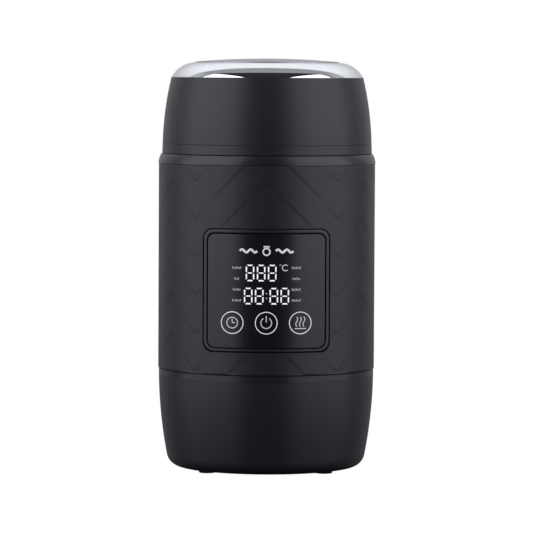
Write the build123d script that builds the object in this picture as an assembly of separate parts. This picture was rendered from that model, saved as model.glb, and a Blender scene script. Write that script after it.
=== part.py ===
from build123d import *
import math
import os

# A portable yogurt maker: a barrel with a heated well, a lift-out pot and a twist-lock lid.
# Millimetres. +Z is up, the floor is z = 0, the barrel's axis is Z and the control panel
# faces -Y.

# ---------------------------------------------------------------- stack, from the floor up
foot_h = 1.8             # the feet hold the base this far off the table
base_h = 55.0            # base housing
lower_ring_h = 3.9       # gloss ring between base and sleeve
sleeve_h = 123.0         # patterned sleeve
collar_h = 5.7           # gloss collar
lid_gap = 0.3            # shadow gap under the lid
skirt_h = 5.7            # skirt ring of the lid
cover_h = 39.6           # cover of the lid
trim_h = 8.9             # bright ring on the lid
crown_h = 2.4            # rise of the domed top plate

# ---------------------------------------------------------------- outside radii
body_r = 65.1            # widest radius: collar and panel bezel
sleeve_in = 0.1          # the sleeve is this much smaller than the body
ring_in = 0.65           # the lower ring is this much smaller
base_top_in = 0.65       # base housing at its top
base_mid_in = 2.45       # at half its height
base_low_in = 7.05       # at its bottom, before the corner is rounded
base_round = 8.6         # rounding of the bottom corner
collar_mid_in = 0.45     # collar at half its height
collar_top_in = 1.7      # and at its top edge
skirt_in = 2.2           # bottom of the lid's skirt ring
cover_low_in = 2.45      # bottom of the lid cover
cover_mid_in = 3.95      # cover at half its height
cover_top_in = 7.6       # top of the cover, where the bright ring starts
shoulder_in = 4.7        # the bright ring's shoulder point, inwards from its foot
shoulder_up = 5.5        # and upwards
plate_edge_in = 21.9     # edge of the domed top plate
sleeve_edge = 1.0        # rounding of the sleeve's lower edge

# ---------------------------------------------------------------- walls and clearances
wall = 2.4               # moulded outer walls
lid_wall = 2.2           # lid cover
fit = 0.3                # between pieces that slide into each other
snug = 0.2               # between pieces that are pressed together by hand
thread_gap = 0.02        # round a screw's shank or a pin in its hole
glue_gap = 0.12          # between curved faces that are glued

# ---------------------------------------------------------------- pot and heated well
jacket = 15.6            # from the body's outside to the pot's inside
pot_wall = 0.8
pot_corner = 8.0         # rounding between the pot's wall and floor
pot_lip_w = 5.7          # width of the pot's rim
well_h = 9.6             # well floor above the sleeve's lower edge
well_gap = 0.6           # round the pot in the well
cup_wall = 0.8           # heating cup
cup_floor = 1.2
cup_flange_w = 6.4
band_t = 0.9             # film heater round the cup
punt_r = 14.0            # raised middle of the pot's floor, over the sensor
punt_h = 1.8
plate_t = 6.0            # cast heating plate
plate_r = 44.0
element_ring_r = 34.0    # tubular element cast into the plate
element_r = 3.2
element_arc = 300.0
element_gap = 0.15       # round the element in its groove
element_sink = 1.6       # its centre above the plate's underside
tail_r = 1.6             # element's cold tails
tail_h = 4.8
tail_gap = 0.4           # round a tail's root in the plate
fuse_r = 2.4             # thermal fuse
fuse_l = 14.0
fuse_down = 2.6          # its centre under the plate
saddle_w = 5.0           # its saddle
saddle_d = 8.0
saddle_h = 5.4
band_margin = 2.0        # cup left bare under the film heater
band_top_in = 3.0        # and above it

# ---------------------------------------------------------------- sensor in the well's floor
sensor_r = 8.7           # sensor housing
sensor_wall = 1.4
sensor_flange_r = 12.0
sensor_flange_t = 1.5
sensor_depth = 4.8       # housing below the heating plate
sensor_down = 0.5        # housing's mouth below the well's floor
sensor_lip = 0.8         # stop lip at the housing's mouth
sensor_lip_w = 1.1
head_up = 1.5            # sensor head above the well's floor
head_edge = 0.8          # rounding of its top
sensor_travel = 2.0
spring_wire = 0.45
spring_turns = 4.0
spring_in = 1.6          # coil's centre line inside the housing's wall

# ---------------------------------------------------------------- neck and twist lock
neck_h = 8.9             # neck above the collar
neck_wall = 1.2          # round the pot's rim
neck_core = 2.0          # walls of the hollow neck below the rim seat
lip_down = 3.0           # pot's rim below the neck's top
lip_gap = 0.4            # round the pot's rim
lock_gap = 0.5           # radial clearance in the twist lock
lug_depth = 2.0          # how far a neck lug stands out
lug_t = 2.4              # thickness of a neck lug
lug_count = 3
lug_deg = 36.0           # width of a lug
lug_down = 1.0           # neck above a lug
stop_deg = 3.0           # width of the rib that stops the lid at its locked mark
stop_gap_deg = 0.7       # and its clearance
lug_offset_deg = 48.0    # from a neck lug to the lid lug, unlocked
lock_turn_deg = 40.0     # turn from unlocked to locked
lid_lug_t = 2.8
lug_slack = 0.4          # between a lid lug and the neck lug over it

# ---------------------------------------------------------------- lid inside
tongue_h = 2.9           # skirt ring's tongue in the cover
tongue_t = 0.9
lid_floor_up = 6.2       # underside of the lid's floor above the cover's foot
lid_floor_t = 2.0
lid_top_t = 2.0          # flange under the bright ring
lid_flange_w = 14.3      # width of that flange
pilot_l = 12.0           # screw holes in the lid's bosses
lid_boss_r = 3.5
lid_boss_at = 13.1       # bosses inwards from the body radius
trim_t = 1.6             # bright ring's sheet
seat_t = 0.8             # seat of the top plate in the bright ring
seat_w = 2.4
rim_t = 0.4              # bright ring's lip round the top plate
plate_edge_sunk = 0.3    # the top plate's edge below the bright ring's
inner_plate_t = 0.8      # inner lid
press_r = 32.2           # its pressed ring
press_w = 6.0
gasket_in = 0.6          # gasket inside the pot's rim
gasket_edge = 0.5        # rounding of its outer edges
gasket_w = 3.4
gasket_h = 3.1
gasket_up = 0.2          # gasket above the pot's rim
gasket_foot = 0.9        # gasket below the inner lid's plate
hub_r = 9.0
hub_t = 2.2
pivot_r = 3.0            # shoulder of the pivot screw
pivot_gap = 0.12         # running fit in the hub
pivot_thread_r = 2.0     # its thread in the lid's floor
pivot_boss_h = 5.0       # boss round the thread
washer_r = 8.0
washer_t = 0.8
pivot_head_r = 5.5
pivot_head_t = 1.8

# ---------------------------------------------------------------- control panel
panel_w = 74.1           # bezel, straight across
panel_h = 72.1
panel_up = 14.2          # above the sleeve's lower edge
panel_corner = 5.7
bezel_side = 2.5         # visible width of the bezel
bezel_top = 2.9
bezel_bottom = 2.0
window_corner = 4.3
panel_gap = 0.25         # groove round the bezel and round the window
window_sunk = 0.35       # window's face below the bezel's
window_t = 1.6
bezel_back = 1.0         # ledge and flange behind the window and the sleeve
bezel_flange_w = 2.2
pcb_t = 1.6
pcb_behind = 0.6         # display board in front of the heater film
pcb_low = 9.4            # its lower edge above the bezel's
pcb_h = 47.0
touch_pitch = 20.4
touch_up = 17.2          # touch keys above the bezel's lower edge
touch_r = 5.0
module_w = 30.0          # digit module
module_h = 28.0
module_gap = 1.5         # from the module's front edges to the window
module_up = 39.8         # its centre above the bezel's lower edge
post_w = 5.0             # posts that carry the display board
post_h = 6.0
post_inset = 2.0         # screws in from the board's edge
post_low = 17.5          # lower and upper posts above the board's lower edge
post_high = 42.0
post_screw_l = 2.0       # screw's length in the post

# ---------------------------------------------------------------- base and mains inlet
base_plate_t = 2.6
ledge_t = 2.4
ledge_w = 7.2            # ledge that carries the base plate
rebate_in = 14.9         # base plate's rebate, in from the body radius
foot_r = 5.0
foot_sunk = 1.0
foot_x = 34.7
foot_y = 26.0
boss_r = 3.3
boss_h = 7.2
screw_r = 1.25
screw_head_r = 2.8
screw_head_t = 1.3
inlet_up = 24.2          # inlet's centre above the base's bottom
inlet_w = 20.0           # two-pole inlet
inlet_h = 11.0
inlet_ear_w = 4.0        # flange beyond the inlet's body, left and right
inlet_ear_h = 3.5        # and above and below
inlet_flange_t = 2.0
inlet_deep = 10.6        # inlet's face in front of its flange
inlet_back = 8.0         # inlet's body behind its flange
inlet_sunk = 4.5         # inlet's face inside the body radius
inlet_wall_w = 1.9       # round the figure-of-eight mouth
inlet_wall_h = 1.4
inlet_slot_d = 11.0
pin_r = 1.2
pin_pitch = 8.6
pin_short = 2.0          # pins stop this far inside the face
tab_l = 6.0
tab_w = 4.8
tab_t = 0.8
small_screw_r = 1.1
small_head_r = 1.9
small_head_t = 1.4

# ---------------------------------------------------------------- power board
board_up = 6.0           # stand-offs on the base plate
board_x = 72.0
board_y = 52.0
board_hole_in = 4.0
standoff_r = 3.0
core_x = -19.0           # transformer's place on the board
core_y = -5.0
core_w = 24.0            # its iron core
core_d = 10.0
core_h = 20.0
bobbin_w = 16.0          # its bobbin
bobbin_d = 20.0
bobbin_h = 15.0
can_x = 18.0             # capacitor's place
can_y = -13.0
can_r = 6.5
can_h = 22.0
relay_x = 20.0           # relay's place
relay_y = 9.0
relay_w = 18.5
relay_d = 15.0
relay_h = 15.0
terminal_y = 20.0        # terminal block, towards the inlet
terminal_w = 15.0
terminal_d = 9.0
terminal_h = 10.0
clamp_w = 4.0            # screw well of a terminal
clamp_d = 3.0
clamp_deep = 2.0
header_y = -22.0         # ribbon header, towards the panel
header_w = 14.0
header_d = 5.0
header_h = 6.0
ribbon_w = 10.0
ribbon_t = 0.6
ribbon_bend = 5.0
ribbon_rise = 18.0       # straight up from the header
ribbon_turn = 6.0        # turns up again this far under the heat shield
lead_r = 1.0
lead_bend = 3.2
lead_drop = 14.0         # heater leads turn this far under the heat shield
lead_slope = 10.0        # and slope down by this much
lead_edge = 4.5          # to this far inside the board's edge
shield_t = 1.0           # heat shield over the electronics
shield_edge = 3.0        # ledge under it
spigot_h = 5.0           # spigots that join ring, sleeve, base and collar
spigot_t = 2.3
vent_count = 5
vent_l = 22.0
vent_w = 2.0
vent_pitch = 5.0

# ---------------------------------------------------------------- heights worked out
z_base = foot_h
z_ring = z_base + base_h
z_sleeve = z_ring + lower_ring_h
z_collar = z_sleeve + sleeve_h
z_rim = z_collar + collar_h
z_skirt = z_rim + lid_gap
z_cover = z_skirt + skirt_h
z_trim = z_cover + cover_h
z_plate = z_trim + trim_h
z_crown = z_plate + crown_h
z_well = z_sleeve + well_h
z_neck = z_rim + neck_h
z_heater = z_well - cup_floor - plate_t
z_base_in = z_base + base_plate_t + ledge_t
z_shield = z_ring - spigot_h + shield_t
z_board = z_base + base_plate_t + board_up
z_panel = z_sleeve + panel_up
z_pcb = z_panel + pcb_low

# ---------------------------------------------------------------- radii worked out
sleeve_r = body_r - sleeve_in
sleeve_bore = sleeve_r - wall
ring_r = body_r - ring_in
skirt_r = body_r - skirt_in
pot_in = body_r - jacket
pot_out = pot_in + pot_wall
cup_in = pot_out + well_gap
cup_out = cup_in + cup_wall
band_out = cup_out + band_t
lip_r = pot_out + pot_lip_w
neck_in = lip_r + lip_gap
neck_r = neck_in + neck_wall
lug_r = neck_r + lug_depth
skirt_bore = lug_r + lock_gap
spigot_r = sleeve_bore - fit
base_bore = body_r - base_top_in - wall
cover_low_r = body_r - cover_low_in
cover_top_r = body_r - cover_top_in
plate_edge_r = body_r - plate_edge_in
rebate_r = body_r - rebate_in
screw_ring_r = rebate_r - ledge_w / 2
lid_screw_ring_r = body_r - lid_boss_at
bezel_in = body_r - window_sunk - window_t
flange_in = sleeve_bore - bezel_back
pcb_back_y = band_out + pcb_behind
pcb_front_y = pcb_back_y + pcb_t
pcb_half_w = math.sqrt((flange_in - snug) ** 2 - pcb_front_y ** 2)
post_x = pcb_half_w - post_inset
module_t = math.sqrt(bezel_in ** 2 - (module_w / 2) ** 2) - pcb_front_y - module_gap
lip_z = z_neck - lip_down
lug_z = z_neck - lug_down - lug_t
collar_screw_r = (cup_in + neck_r) / 2
seat_z = lip_z - fit
plate_z = lip_z + pot_wall + gasket_up + gasket_foot
hub_z = plate_z + inner_plate_t
floor_z = z_cover + lid_floor_up
inlet_z = z_base + inlet_up
inlet_flange_w = inlet_w + 2 * inlet_ear_w
inlet_flange_h = inlet_h + 2 * inlet_ear_h
inlet_slot_w = inlet_w - 2 * inlet_wall_w
inlet_slot_h = inlet_h - 2 * inlet_wall_h
inlet_face_y = body_r - inlet_sunk
inlet_seat_y = inlet_face_y - inlet_deep + inlet_flange_t
sensor_in = sensor_r - sensor_wall
sensor_hole = sensor_r + fit
head_z = z_well + head_up
lip_under_z = z_well - sensor_down - sensor_lip
shoulder_z = lip_under_z - fit

UP = (Align.CENTER, Align.CENTER, Align.MIN)


# ---------------------------------------------------------------- shapes used everywhere
def disc(radius, bottom, top):
    """Upright cylinder on the barrel's axis."""
    return Pos(0, 0, bottom) * Cylinder(radius, top - bottom, align=UP)


def tube(inner, outer, bottom, top):
    """Upright ring with square edges."""
    return disc(outer, bottom, top) - disc(inner, bottom, top)


def block(x0, x1, y0, y1, z0, z1):
    """Box between two corners."""
    middle = Pos((x0 + x1) / 2, (y0 + y1) / 2, (z0 + z1) / 2)
    return middle * Box(x1 - x0, y1 - y0, z1 - z0)


def spun(*edges):
    """Solid of revolution of a closed outline of (radius, height) edges."""
    return revolve(Plane.XZ * make_face(list(edges)), Axis.Z)


def line(*points):
    """Straight edges through (radius, height) points."""
    return Polyline(*points).edges()


def at(radius, angle, height=0.0):
    """Place on a circle about the axis; the angle is in degrees from +X."""
    turn = math.radians(angle)
    return Pos(radius * math.cos(turn), radius * math.sin(turn), height)


def sector(inner, outer, bottom, top, middle_deg, width_deg):
    """Part of a ring, centred on an angle."""
    outline = Polyline((inner, bottom), (outer, bottom), (outer, top), (inner, top), close=True)
    piece = revolve(Plane.XZ * make_face(outline), Axis.Z, width_deg)
    return Rot(0, 0, middle_deg - width_deg / 2) * piece


def radius_on_arc(height, a, b, c):
    """Radius at a height on the circle through three (radius, height) points."""
    ab = (a[0] ** 2 + a[1] ** 2 - b[0] ** 2 - b[1] ** 2) / 2
    bc = (b[0] ** 2 + b[1] ** 2 - c[0] ** 2 - c[1] ** 2) / 2
    det = (a[0] - b[0]) * (b[1] - c[1]) - (b[0] - c[0]) * (a[1] - b[1])
    cx = (ab * (b[1] - c[1]) - bc * (a[1] - b[1])) / det
    cz = ((a[0] - b[0]) * bc - (b[0] - c[0]) * ab) / det
    size = math.hypot(a[0] - cx, a[1] - cz)
    return cx + math.sqrt(size ** 2 - (height - cz) ** 2)


def front_prism(width, height, low, corner):
    """Rounded rectangle seen from the front, carried back to the axis."""
    outline = Plane.XZ * Pos(0, low + height / 2) * RectangleRounded(width, height, corner)
    return extrude(outline, amount=2 * body_r)


def screw(shank, head, head_t, length):
    """Pan-head screw along +Z; its head ends at z = 0 and its shank runs up."""
    cap = Pos(0, 0, -head_t) * Cylinder(head, head_t, align=UP)
    cap = fillet(cap.edges().group_by(Axis.Z)[0], head_t / 3)
    slot = Pos(0, 0, -head_t) * Box(1.4 * head, head / 4, head_t / 1.5)
    return cap - slot + Cylinder(shank, length, align=UP)


def lead(*points):
    """Insulated wire through points, with an arc at each turn."""
    path = FilletPolyline(*points, radius=lead_bend)
    start = Plane(path @ 0, z_dir=path % 0)
    return sweep(start * Circle(lead_r), path=path)


def cross(radius, height, start=0.0):
    """Four places round the axis."""
    return [at(radius, start + 90 * i, height) for i in range(4)]


# ---------------------------------------------------------------- base
base_arc = [(body_r - base_low_in, z_base), (body_r - base_mid_in, z_base + base_h / 2),
            (body_r - base_top_in, z_ring)]


def base_core(inset, rounding):
    """The base's full form, made smaller by an inset."""
    low, middle, high = [(r - inset, z) for r, z in base_arc]
    face = make_face([*line((0, z_ring), (0, z_base), low), ThreePointArc(low, middle, high),
                      *line(high, (0, z_ring))])
    corner = face.vertices().sort_by(Axis.Y)[:2].sort_by(Axis.X)[-1]
    return revolve(Plane.XZ * fillet(corner, rounding), Axis.Z)


def base_housing():
    """Lower shell: hollow, open at the top, with a ledge for the base plate."""
    outside = base_core(0, base_round)
    shell = outside - (base_core(wall, base_round - wall) & disc(body_r, z_base_in, z_ring))
    shell -= disc(rebate_r - ledge_w, z_base, z_base_in)
    shell -= disc(rebate_r, z_base, z_base + base_plate_t)
    for place in cross(screw_ring_r, z_base + base_plate_t):
        shell += place * Cylinder(boss_r, ledge_t + boss_h, align=UP)
        shell -= place * Cylinder(screw_r + thread_gap, ledge_t + boss_h - 1, align=UP)
    half_w = inlet_flange_w / 2 + 1
    half_h = inlet_flange_h / 2 + 2
    turret = block(-half_w, half_w, inlet_seat_y, body_r, inlet_z - half_h, inlet_z + half_h)
    shell += turret & outside
    shell -= inlet_block(inlet_w + 2 * snug, inlet_h + 2 * snug, inlet_seat_y, body_r)
    for place in inlet_screw_places():
        shell -= place * Cylinder(small_screw_r + thread_gap, 8, align=UP)
    return shell


def inlet_block(width, height, back, front):
    """Upright block on the inlet's centre line."""
    return block(-width / 2, width / 2, back, front, inlet_z - height / 2, inlet_z + height / 2)


def inlet_screw_places():
    """Inlet screws, pointing out through the flange."""
    offset = (inlet_flange_w + inlet_w) / 4
    back = inlet_seat_y - inlet_flange_t
    return [Pos(side * offset, back, inlet_z) * Rot(-90, 0, 0) for side in (-1, 1)]


def base_plate():
    """Bottom plate with foot pockets, screw holes, vents and board stand-offs."""
    top = z_base + base_plate_t
    plate = disc(rebate_r - panel_gap, z_base, top)
    for x, y in board_holes():
        plate += Pos(x, y, top) * Cylinder(standoff_r, board_up, align=UP)
        plate -= Pos(x, y, top) * Cylinder(small_screw_r + thread_gap, board_up, align=UP)
    for x, y in foot_places():
        plate -= Pos(x, y, z_base) * Cylinder(foot_r + snug / 4, foot_sunk, align=UP)
    for place in cross(screw_ring_r, z_base):
        plate -= place * Cylinder(screw_r + snug, base_plate_t, align=UP)
        plate -= place * Cylinder(screw_head_r + fit, screw_head_t + 0.1, align=UP)
    for i in range(vent_count):
        y = (i - (vent_count - 1) / 2) * vent_pitch
        plate -= Pos(0, y, z_base) * extrude(SlotOverall(vent_l, vent_w), amount=base_plate_t)
    return plate


def foot_places():
    """Centres of the four feet."""
    return [(sx * foot_x, sy * foot_y) for sx in (-1, 1) for sy in (-1, 1)]


def feet():
    """Four rubber feet in their pockets."""
    foot = Cylinder(foot_r, foot_h + foot_sunk, align=UP)
    foot = fillet(foot.edges().group_by(Axis.Z)[0], foot_h / 3)
    return [Pos(x, y, 0) * foot for x, y in foot_places()]


def base_screws():
    """Screws that hold the base plate."""
    one = screw(screw_r, screw_head_r, screw_head_t, ledge_t + boss_h - 2)
    return [place * one for place in cross(screw_ring_r, z_base + 0.1 + screw_head_t)]


# ---------------------------------------------------------------- mains inlet
def power_inlet():
    """Two-pole appliance inlet: flanged body with a figure-of-eight mouth."""
    back = inlet_seat_y - inlet_flange_t - inlet_back
    body = inlet_block(inlet_w, inlet_h, back, inlet_face_y)
    body += inlet_block(inlet_flange_w, inlet_flange_h, inlet_seat_y - inlet_flange_t, inlet_seat_y)
    mouth = extrude(SlotOverall(inlet_slot_w, inlet_slot_h), amount=inlet_slot_d)
    body -= Pos(0, inlet_face_y, inlet_z) * Rot(90, 0, 0) * mouth
    for x in (-pin_pitch / 2, pin_pitch / 2):
        hole = Cylinder(pin_r + thread_gap, inlet_face_y - back, align=UP)
        body -= Pos(x, back, inlet_z) * Rot(-90, 0, 0) * hole
    for place in inlet_screw_places():
        body -= place * Cylinder(small_screw_r + thread_gap, inlet_flange_t, align=UP)
    return body


def inlet_pins():
    """Contact pins with their solder tabs."""
    back = inlet_seat_y - inlet_flange_t - inlet_back
    pins = []
    for x in (-pin_pitch / 2, pin_pitch / 2):
        pin = Cylinder(pin_r, inlet_face_y - pin_short - back, align=UP)
        pin = fillet(pin.edges().group_by(Axis.Z)[-1], pin_r / 2)
        tab = block(x - tab_t / 2, x + tab_t / 2, back - tab_l, back,
                    inlet_z - tab_w / 2, inlet_z + tab_w / 2)
        pins.append(Pos(x, back, inlet_z) * Rot(-90, 0, 0) * pin + tab)
    return pins


def inlet_screws():
    """Screws that hold the inlet to its turret."""
    one = screw(small_screw_r, small_head_r, small_head_t, 7)
    return [place * one for place in inlet_screw_places()]


# ---------------------------------------------------------------- power board
def board_holes():
    """Stand-off centres under the power board."""
    x = board_x / 2 - board_hole_in
    y = board_y / 2 - board_hole_in
    return [(sx * x, sy * y) for sx in (-1, 1) for sy in (-1, 1)]


def on_board(x, y, size_x, size_y, size_z):
    """Component standing on the power board."""
    top = z_board + pcb_t
    return block(x - size_x / 2, x + size_x / 2, y - size_y / 2, y + size_y / 2, top, top + size_z)


def power_board():
    """Mains circuit board."""
    board = block(-board_x / 2, board_x / 2, -board_y / 2, board_y / 2, z_board, z_board + pcb_t)
    for x, y in board_holes():
        board -= Pos(x, y, z_board) * Cylinder(small_screw_r + snug, pcb_t, align=UP)
    return board


def board_screws():
    """Screws from above into the stand-offs."""
    one = Rot(180, 0, 0) * screw(small_screw_r, small_head_r, small_head_t, pcb_t + board_up - 2)
    return [Pos(x, y, z_board + pcb_t) * one for x, y in board_holes()]


def transformer():
    """Laminated core with its bobbin."""
    core = on_board(core_x, core_y, core_w, core_d, core_h)
    return core + on_board(core_x, core_y, bobbin_w, bobbin_d, bobbin_h)


def filter_capacitor():
    """Upright electrolytic can."""
    can = Pos(can_x, can_y, z_board + pcb_t) * Cylinder(can_r, can_h, align=UP)
    return fillet(can.edges().group_by(Axis.Z)[-1], 1)


def relay():
    """Heater relay."""
    body = on_board(relay_x, relay_y, relay_w, relay_d, relay_h)
    return fillet(body.edges().group_by(Axis.Z)[-1], 0.6)


def terminal_block():
    """Two-way screw terminal for the mains leads."""
    body = on_board(0, terminal_y, terminal_w, terminal_d, terminal_h)
    top = z_board + pcb_t + terminal_h
    for x in (-pin_pitch / 2, pin_pitch / 2):
        well = on_board(x, terminal_y - terminal_d / 3, clamp_w, clamp_d, terminal_h)
        body -= well & disc(body_r, top - clamp_deep, z_ring)
    return body


def ribbon_header():
    """Header for the display ribbon."""
    return on_board(0, header_y, header_w, header_d, header_h)


def mains_leads():
    """Leads from the inlet's tabs to the terminal block."""
    start_y = inlet_seat_y - inlet_flange_t - inlet_back - tab_l
    end_z = z_board + pcb_t + terminal_h
    leads = []
    for x in (-pin_pitch / 2, pin_pitch / 2):
        leads.append(lead((x, start_y, inlet_z), (x, terminal_y, inlet_z), (x, terminal_y, end_z)))
    return leads


def tail_place(side):
    """End of the element, left or right of the gap at the back."""
    angle = math.radians(90 + side * (360 - element_arc) / 2)
    return element_ring_r * math.cos(angle), element_ring_r * math.sin(angle)


def heater_leads():
    """Leads from the element's tails down to the power board."""
    top = z_heater + element_sink - tail_h
    foot_line = board_y / 2 - lead_edge
    turn_z = z_shield - lead_drop
    leads = []
    for side in (-1, 1):
        x, y = tail_place(side)
        leads.append(lead((x, y, top), (x, y, turn_z), (x, foot_line, turn_z - lead_slope),
                          (x, foot_line, z_board + pcb_t)))
    return leads


def display_ribbon():
    """Flat cable from the header, out to the jacket and up to the display board."""
    middle = -(pcb_back_y + pcb_t / 2)
    start_z = z_board + pcb_t + header_h
    path = FilletPolyline((0, header_y, start_z), (0, header_y, start_z + ribbon_rise),
                          (0, middle, z_shield - ribbon_turn), (0, middle, z_pcb),
                          radius=ribbon_bend)
    return sweep(Pos(0, header_y, start_z) * Rectangle(ribbon_w, ribbon_t), path=path)


# ---------------------------------------------------------------- body rings and sleeve
def lower_ring():
    """Gloss ring with spigots into sleeve and base, and the heat shield's ledge."""
    ring = tube(spigot_r - spigot_t, ring_r, z_ring, z_sleeve)
    ring += tube(spigot_r - spigot_t, spigot_r, z_ring, z_sleeve + spigot_h)
    low_r = base_bore - fit
    ring += tube(low_r - spigot_t, low_r, z_ring - spigot_h - shield_t, z_ring + lower_ring_h / 2)
    ring += tube(low_r - spigot_t - shield_edge, low_r, z_shield - 2 * shield_t, z_shield)
    return ring


def heat_shield():
    """Disc over the electronics, with passes for the leads and the ribbon."""
    shield = disc(base_bore - fit - spigot_t - fit, z_shield, z_shield + shield_t)
    for side in (-1, 1):
        x, y = tail_place(side)
        shield -= Pos(x, y, z_shield) * Cylinder(lead_r + 1, shield_t, align=UP)
    middle = -(pcb_back_y + pcb_t / 2)
    half = ribbon_w / 2 + 1
    shield -= block(-half, half, middle - 2, middle + 2, z_shield, z_shield + shield_t)
    return shield


def outer_sleeve():
    """Outer wall with the opening for the control panel."""
    sleeve = disc(sleeve_r, z_sleeve, z_collar)
    sleeve = fillet(sleeve.edges().group_by(Axis.Z)[0], sleeve_edge)
    sleeve -= disc(sleeve_bore, z_sleeve, z_collar)
    opening = front_prism(panel_w + 2 * panel_gap, panel_h + 2 * panel_gap,
                          z_panel - panel_gap, panel_corner + panel_gap)
    return sleeve - opening


def insulation_sleeve():
    """Insulating jacket round the heater, left out behind the panel."""
    inner = band_out + fit
    outer = spigot_r - spigot_t - snug
    jacket_wrap = tube(inner, outer, z_sleeve + spigot_h + fit, z_collar - spigot_h - fit)
    half = panel_w / 2 + bezel_flange_w + 1
    top = z_panel + panel_h + bezel_flange_w + 1
    return jacket_wrap - block(-half, half, -body_r, 0, z_sleeve, top)


def collar_ring():
    """Gloss collar, the neck with its lock lugs, and the seat for the pot's rim."""
    foot = (body_r, z_collar)
    middle = (body_r - collar_mid_in, (z_collar + z_rim) / 2)
    edge = (body_r - collar_top_in, z_rim)
    collar = spun(ThreePointArc(foot, middle, edge),
                  *line(edge, (neck_r, z_rim), (neck_r, z_neck), (neck_in, z_neck),
                        (neck_in, seat_z), (cup_in, seat_z), (cup_in, z_collar), foot))
    collar += tube(spigot_r - spigot_t, spigot_r, z_collar - spigot_h, z_collar)
    core = tube(cup_in + neck_core, neck_r - neck_core, z_collar, seat_z - neck_core)
    for place in cross(collar_screw_r, z_collar, 45):
        core -= place * Cylinder(boss_r, sleeve_h, align=UP)
    collar -= core
    for place in cross(collar_screw_r, z_collar, 45):
        collar -= place * Cylinder(small_screw_r + thread_gap, seat_z - neck_core - z_collar, align=UP)
    for i in range(lug_count):
        middle_deg = -90 + i * 360 / lug_count
        collar += sector(neck_in, lug_r, lug_z, lug_z + lug_t, middle_deg, lug_deg)
        locked_edge = middle_deg + lug_offset_deg - lock_turn_deg - lug_deg / 2
        rib_deg = locked_edge - stop_gap_deg - stop_deg / 2
        collar += sector(neck_in, lug_r, z_rim, lug_z + lug_t, rib_deg, stop_deg)
    return collar


def collar_screws():
    """Screws that hold the heating cup to the collar."""
    one = screw(small_screw_r, small_head_r, small_head_t, cup_floor + 6)
    return [place * one for place in cross(collar_screw_r, z_collar - cup_floor, 45)]


# ---------------------------------------------------------------- heated well
def rounded_can(radius, bottom, top, corner):
    """Cylinder with its lower edge rounded."""
    can = disc(radius, bottom, top)
    return fillet(can.edges().group_by(Axis.Z)[0], corner)


def heating_cup():
    """Aluminium well, flanged under the collar, with the sensor's hole."""
    cup = rounded_can(cup_out, z_well - cup_floor, z_collar, pot_corner + cup_wall)
    cup += disc(cup_out + cup_flange_w, z_collar - cup_floor, z_collar)
    cup -= rounded_can(cup_in, z_well, z_collar, pot_corner)
    cup -= disc(sensor_hole, z_well - cup_floor, z_well)
    for place in cross(collar_screw_r, z_collar - cup_floor, 45):
        cup -= place * Cylinder(small_screw_r + thread_gap, cup_floor, align=UP)
    return cup


def heater_band():
    """Film heater round the cup's wall."""
    low = z_well + pot_corner + cup_wall + band_margin
    return tube(cup_out, band_out, low, z_collar - spigot_h - band_top_in)


def element_path(radius):
    """Ring of the tubular element, open at the back."""
    turned = Rot(0, 0, 90 + (360 - element_arc) / 2)
    section = Plane.XZ * Pos(element_ring_r, z_heater + element_sink) * Circle(radius)
    return turned * revolve(section, Axis.Z, element_arc)


def heater_element():
    """Tubular element with two cold tails."""
    element = element_path(element_r)
    for side in (-1, 1):
        x, y = tail_place(side)
        foot = z_heater + element_sink - tail_h
        element += Pos(x, y, foot) * Cylinder(tail_r, tail_h, align=UP)
    return element


def heating_plate():
    """Cast plate under the well, with the element's groove."""
    plate = disc(plate_r, z_heater, z_well - cup_floor) - disc(sensor_hole, z_heater, z_well)
    plate -= element_path(element_r + element_gap)
    for side in (-1, 1):
        x, y = tail_place(side)
        plate -= Pos(x, y, z_heater) * Sphere(element_r + tail_gap)
        plate -= Pos(x, y, z_heater) * Cylinder(tail_r + snug, element_sink + tail_r, align=UP)
    return plate


def thermal_fuse():
    """Thermal fuse in its saddle on the heating plate."""
    y = -(sensor_flange_r + element_ring_r) / 2
    fuse = Pos(0, y, z_heater - fuse_down) * Rot(0, 90, 0) * Cylinder(fuse_r, fuse_l)
    return fuse + block(-saddle_w / 2, saddle_w / 2, y - saddle_d / 2, y + saddle_d / 2,
                        z_heater - saddle_h, z_heater)


# ---------------------------------------------------------------- sensor
def sensor_housing():
    """Guide of the spring-loaded sensor, hung under the heating plate."""
    bottom = z_heater - sensor_depth
    guide = disc(sensor_r, bottom, z_well - sensor_down)
    guide += disc(sensor_flange_r, z_heater - sensor_flange_t, z_heater)
    guide -= disc(sensor_in, bottom + sensor_wall, lip_under_z)
    return guide - disc(sensor_in - sensor_lip_w, lip_under_z, z_well)


def sensor_plunger():
    """Sensor head that the spring holds against the pot."""
    head = disc(sensor_in - sensor_lip_w - fit, shoulder_z - sensor_travel, head_z)
    head = fillet(head.edges().group_by(Axis.Z)[-1], head_edge)
    return head + disc(sensor_in - fit, shoulder_z - sensor_travel, shoulder_z)


def sensor_spring():
    """Coil spring between the housing's floor and the sensor head."""
    low = z_heater - sensor_depth + sensor_wall + spring_wire
    high = shoulder_z - sensor_travel - spring_wire
    radius = sensor_in - spring_in
    coil = Helix((high - low) / spring_turns, high - low, radius)
    wire = sweep(Plane(coil @ 0, z_dir=coil % 0) * Circle(spring_wire), path=coil, is_frenet=True)
    return Pos(0, 0, low) * wire


# ---------------------------------------------------------------- pot
def inner_pot():
    """Lift-out steel pot with a flat rim and a raised middle in its floor."""
    pot = rounded_can(pot_out, z_well, lip_z + pot_wall, pot_corner)
    pot += disc(lip_r, lip_z, lip_z + pot_wall)
    pot -= rounded_can(pot_in, z_well + pot_wall, lip_z + pot_wall, pot_corner - pot_wall)
    pot += disc(punt_r + pot_wall, z_well, z_well + punt_h + pot_wall)
    return pot - disc(punt_r, z_well, z_well + punt_h)


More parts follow.
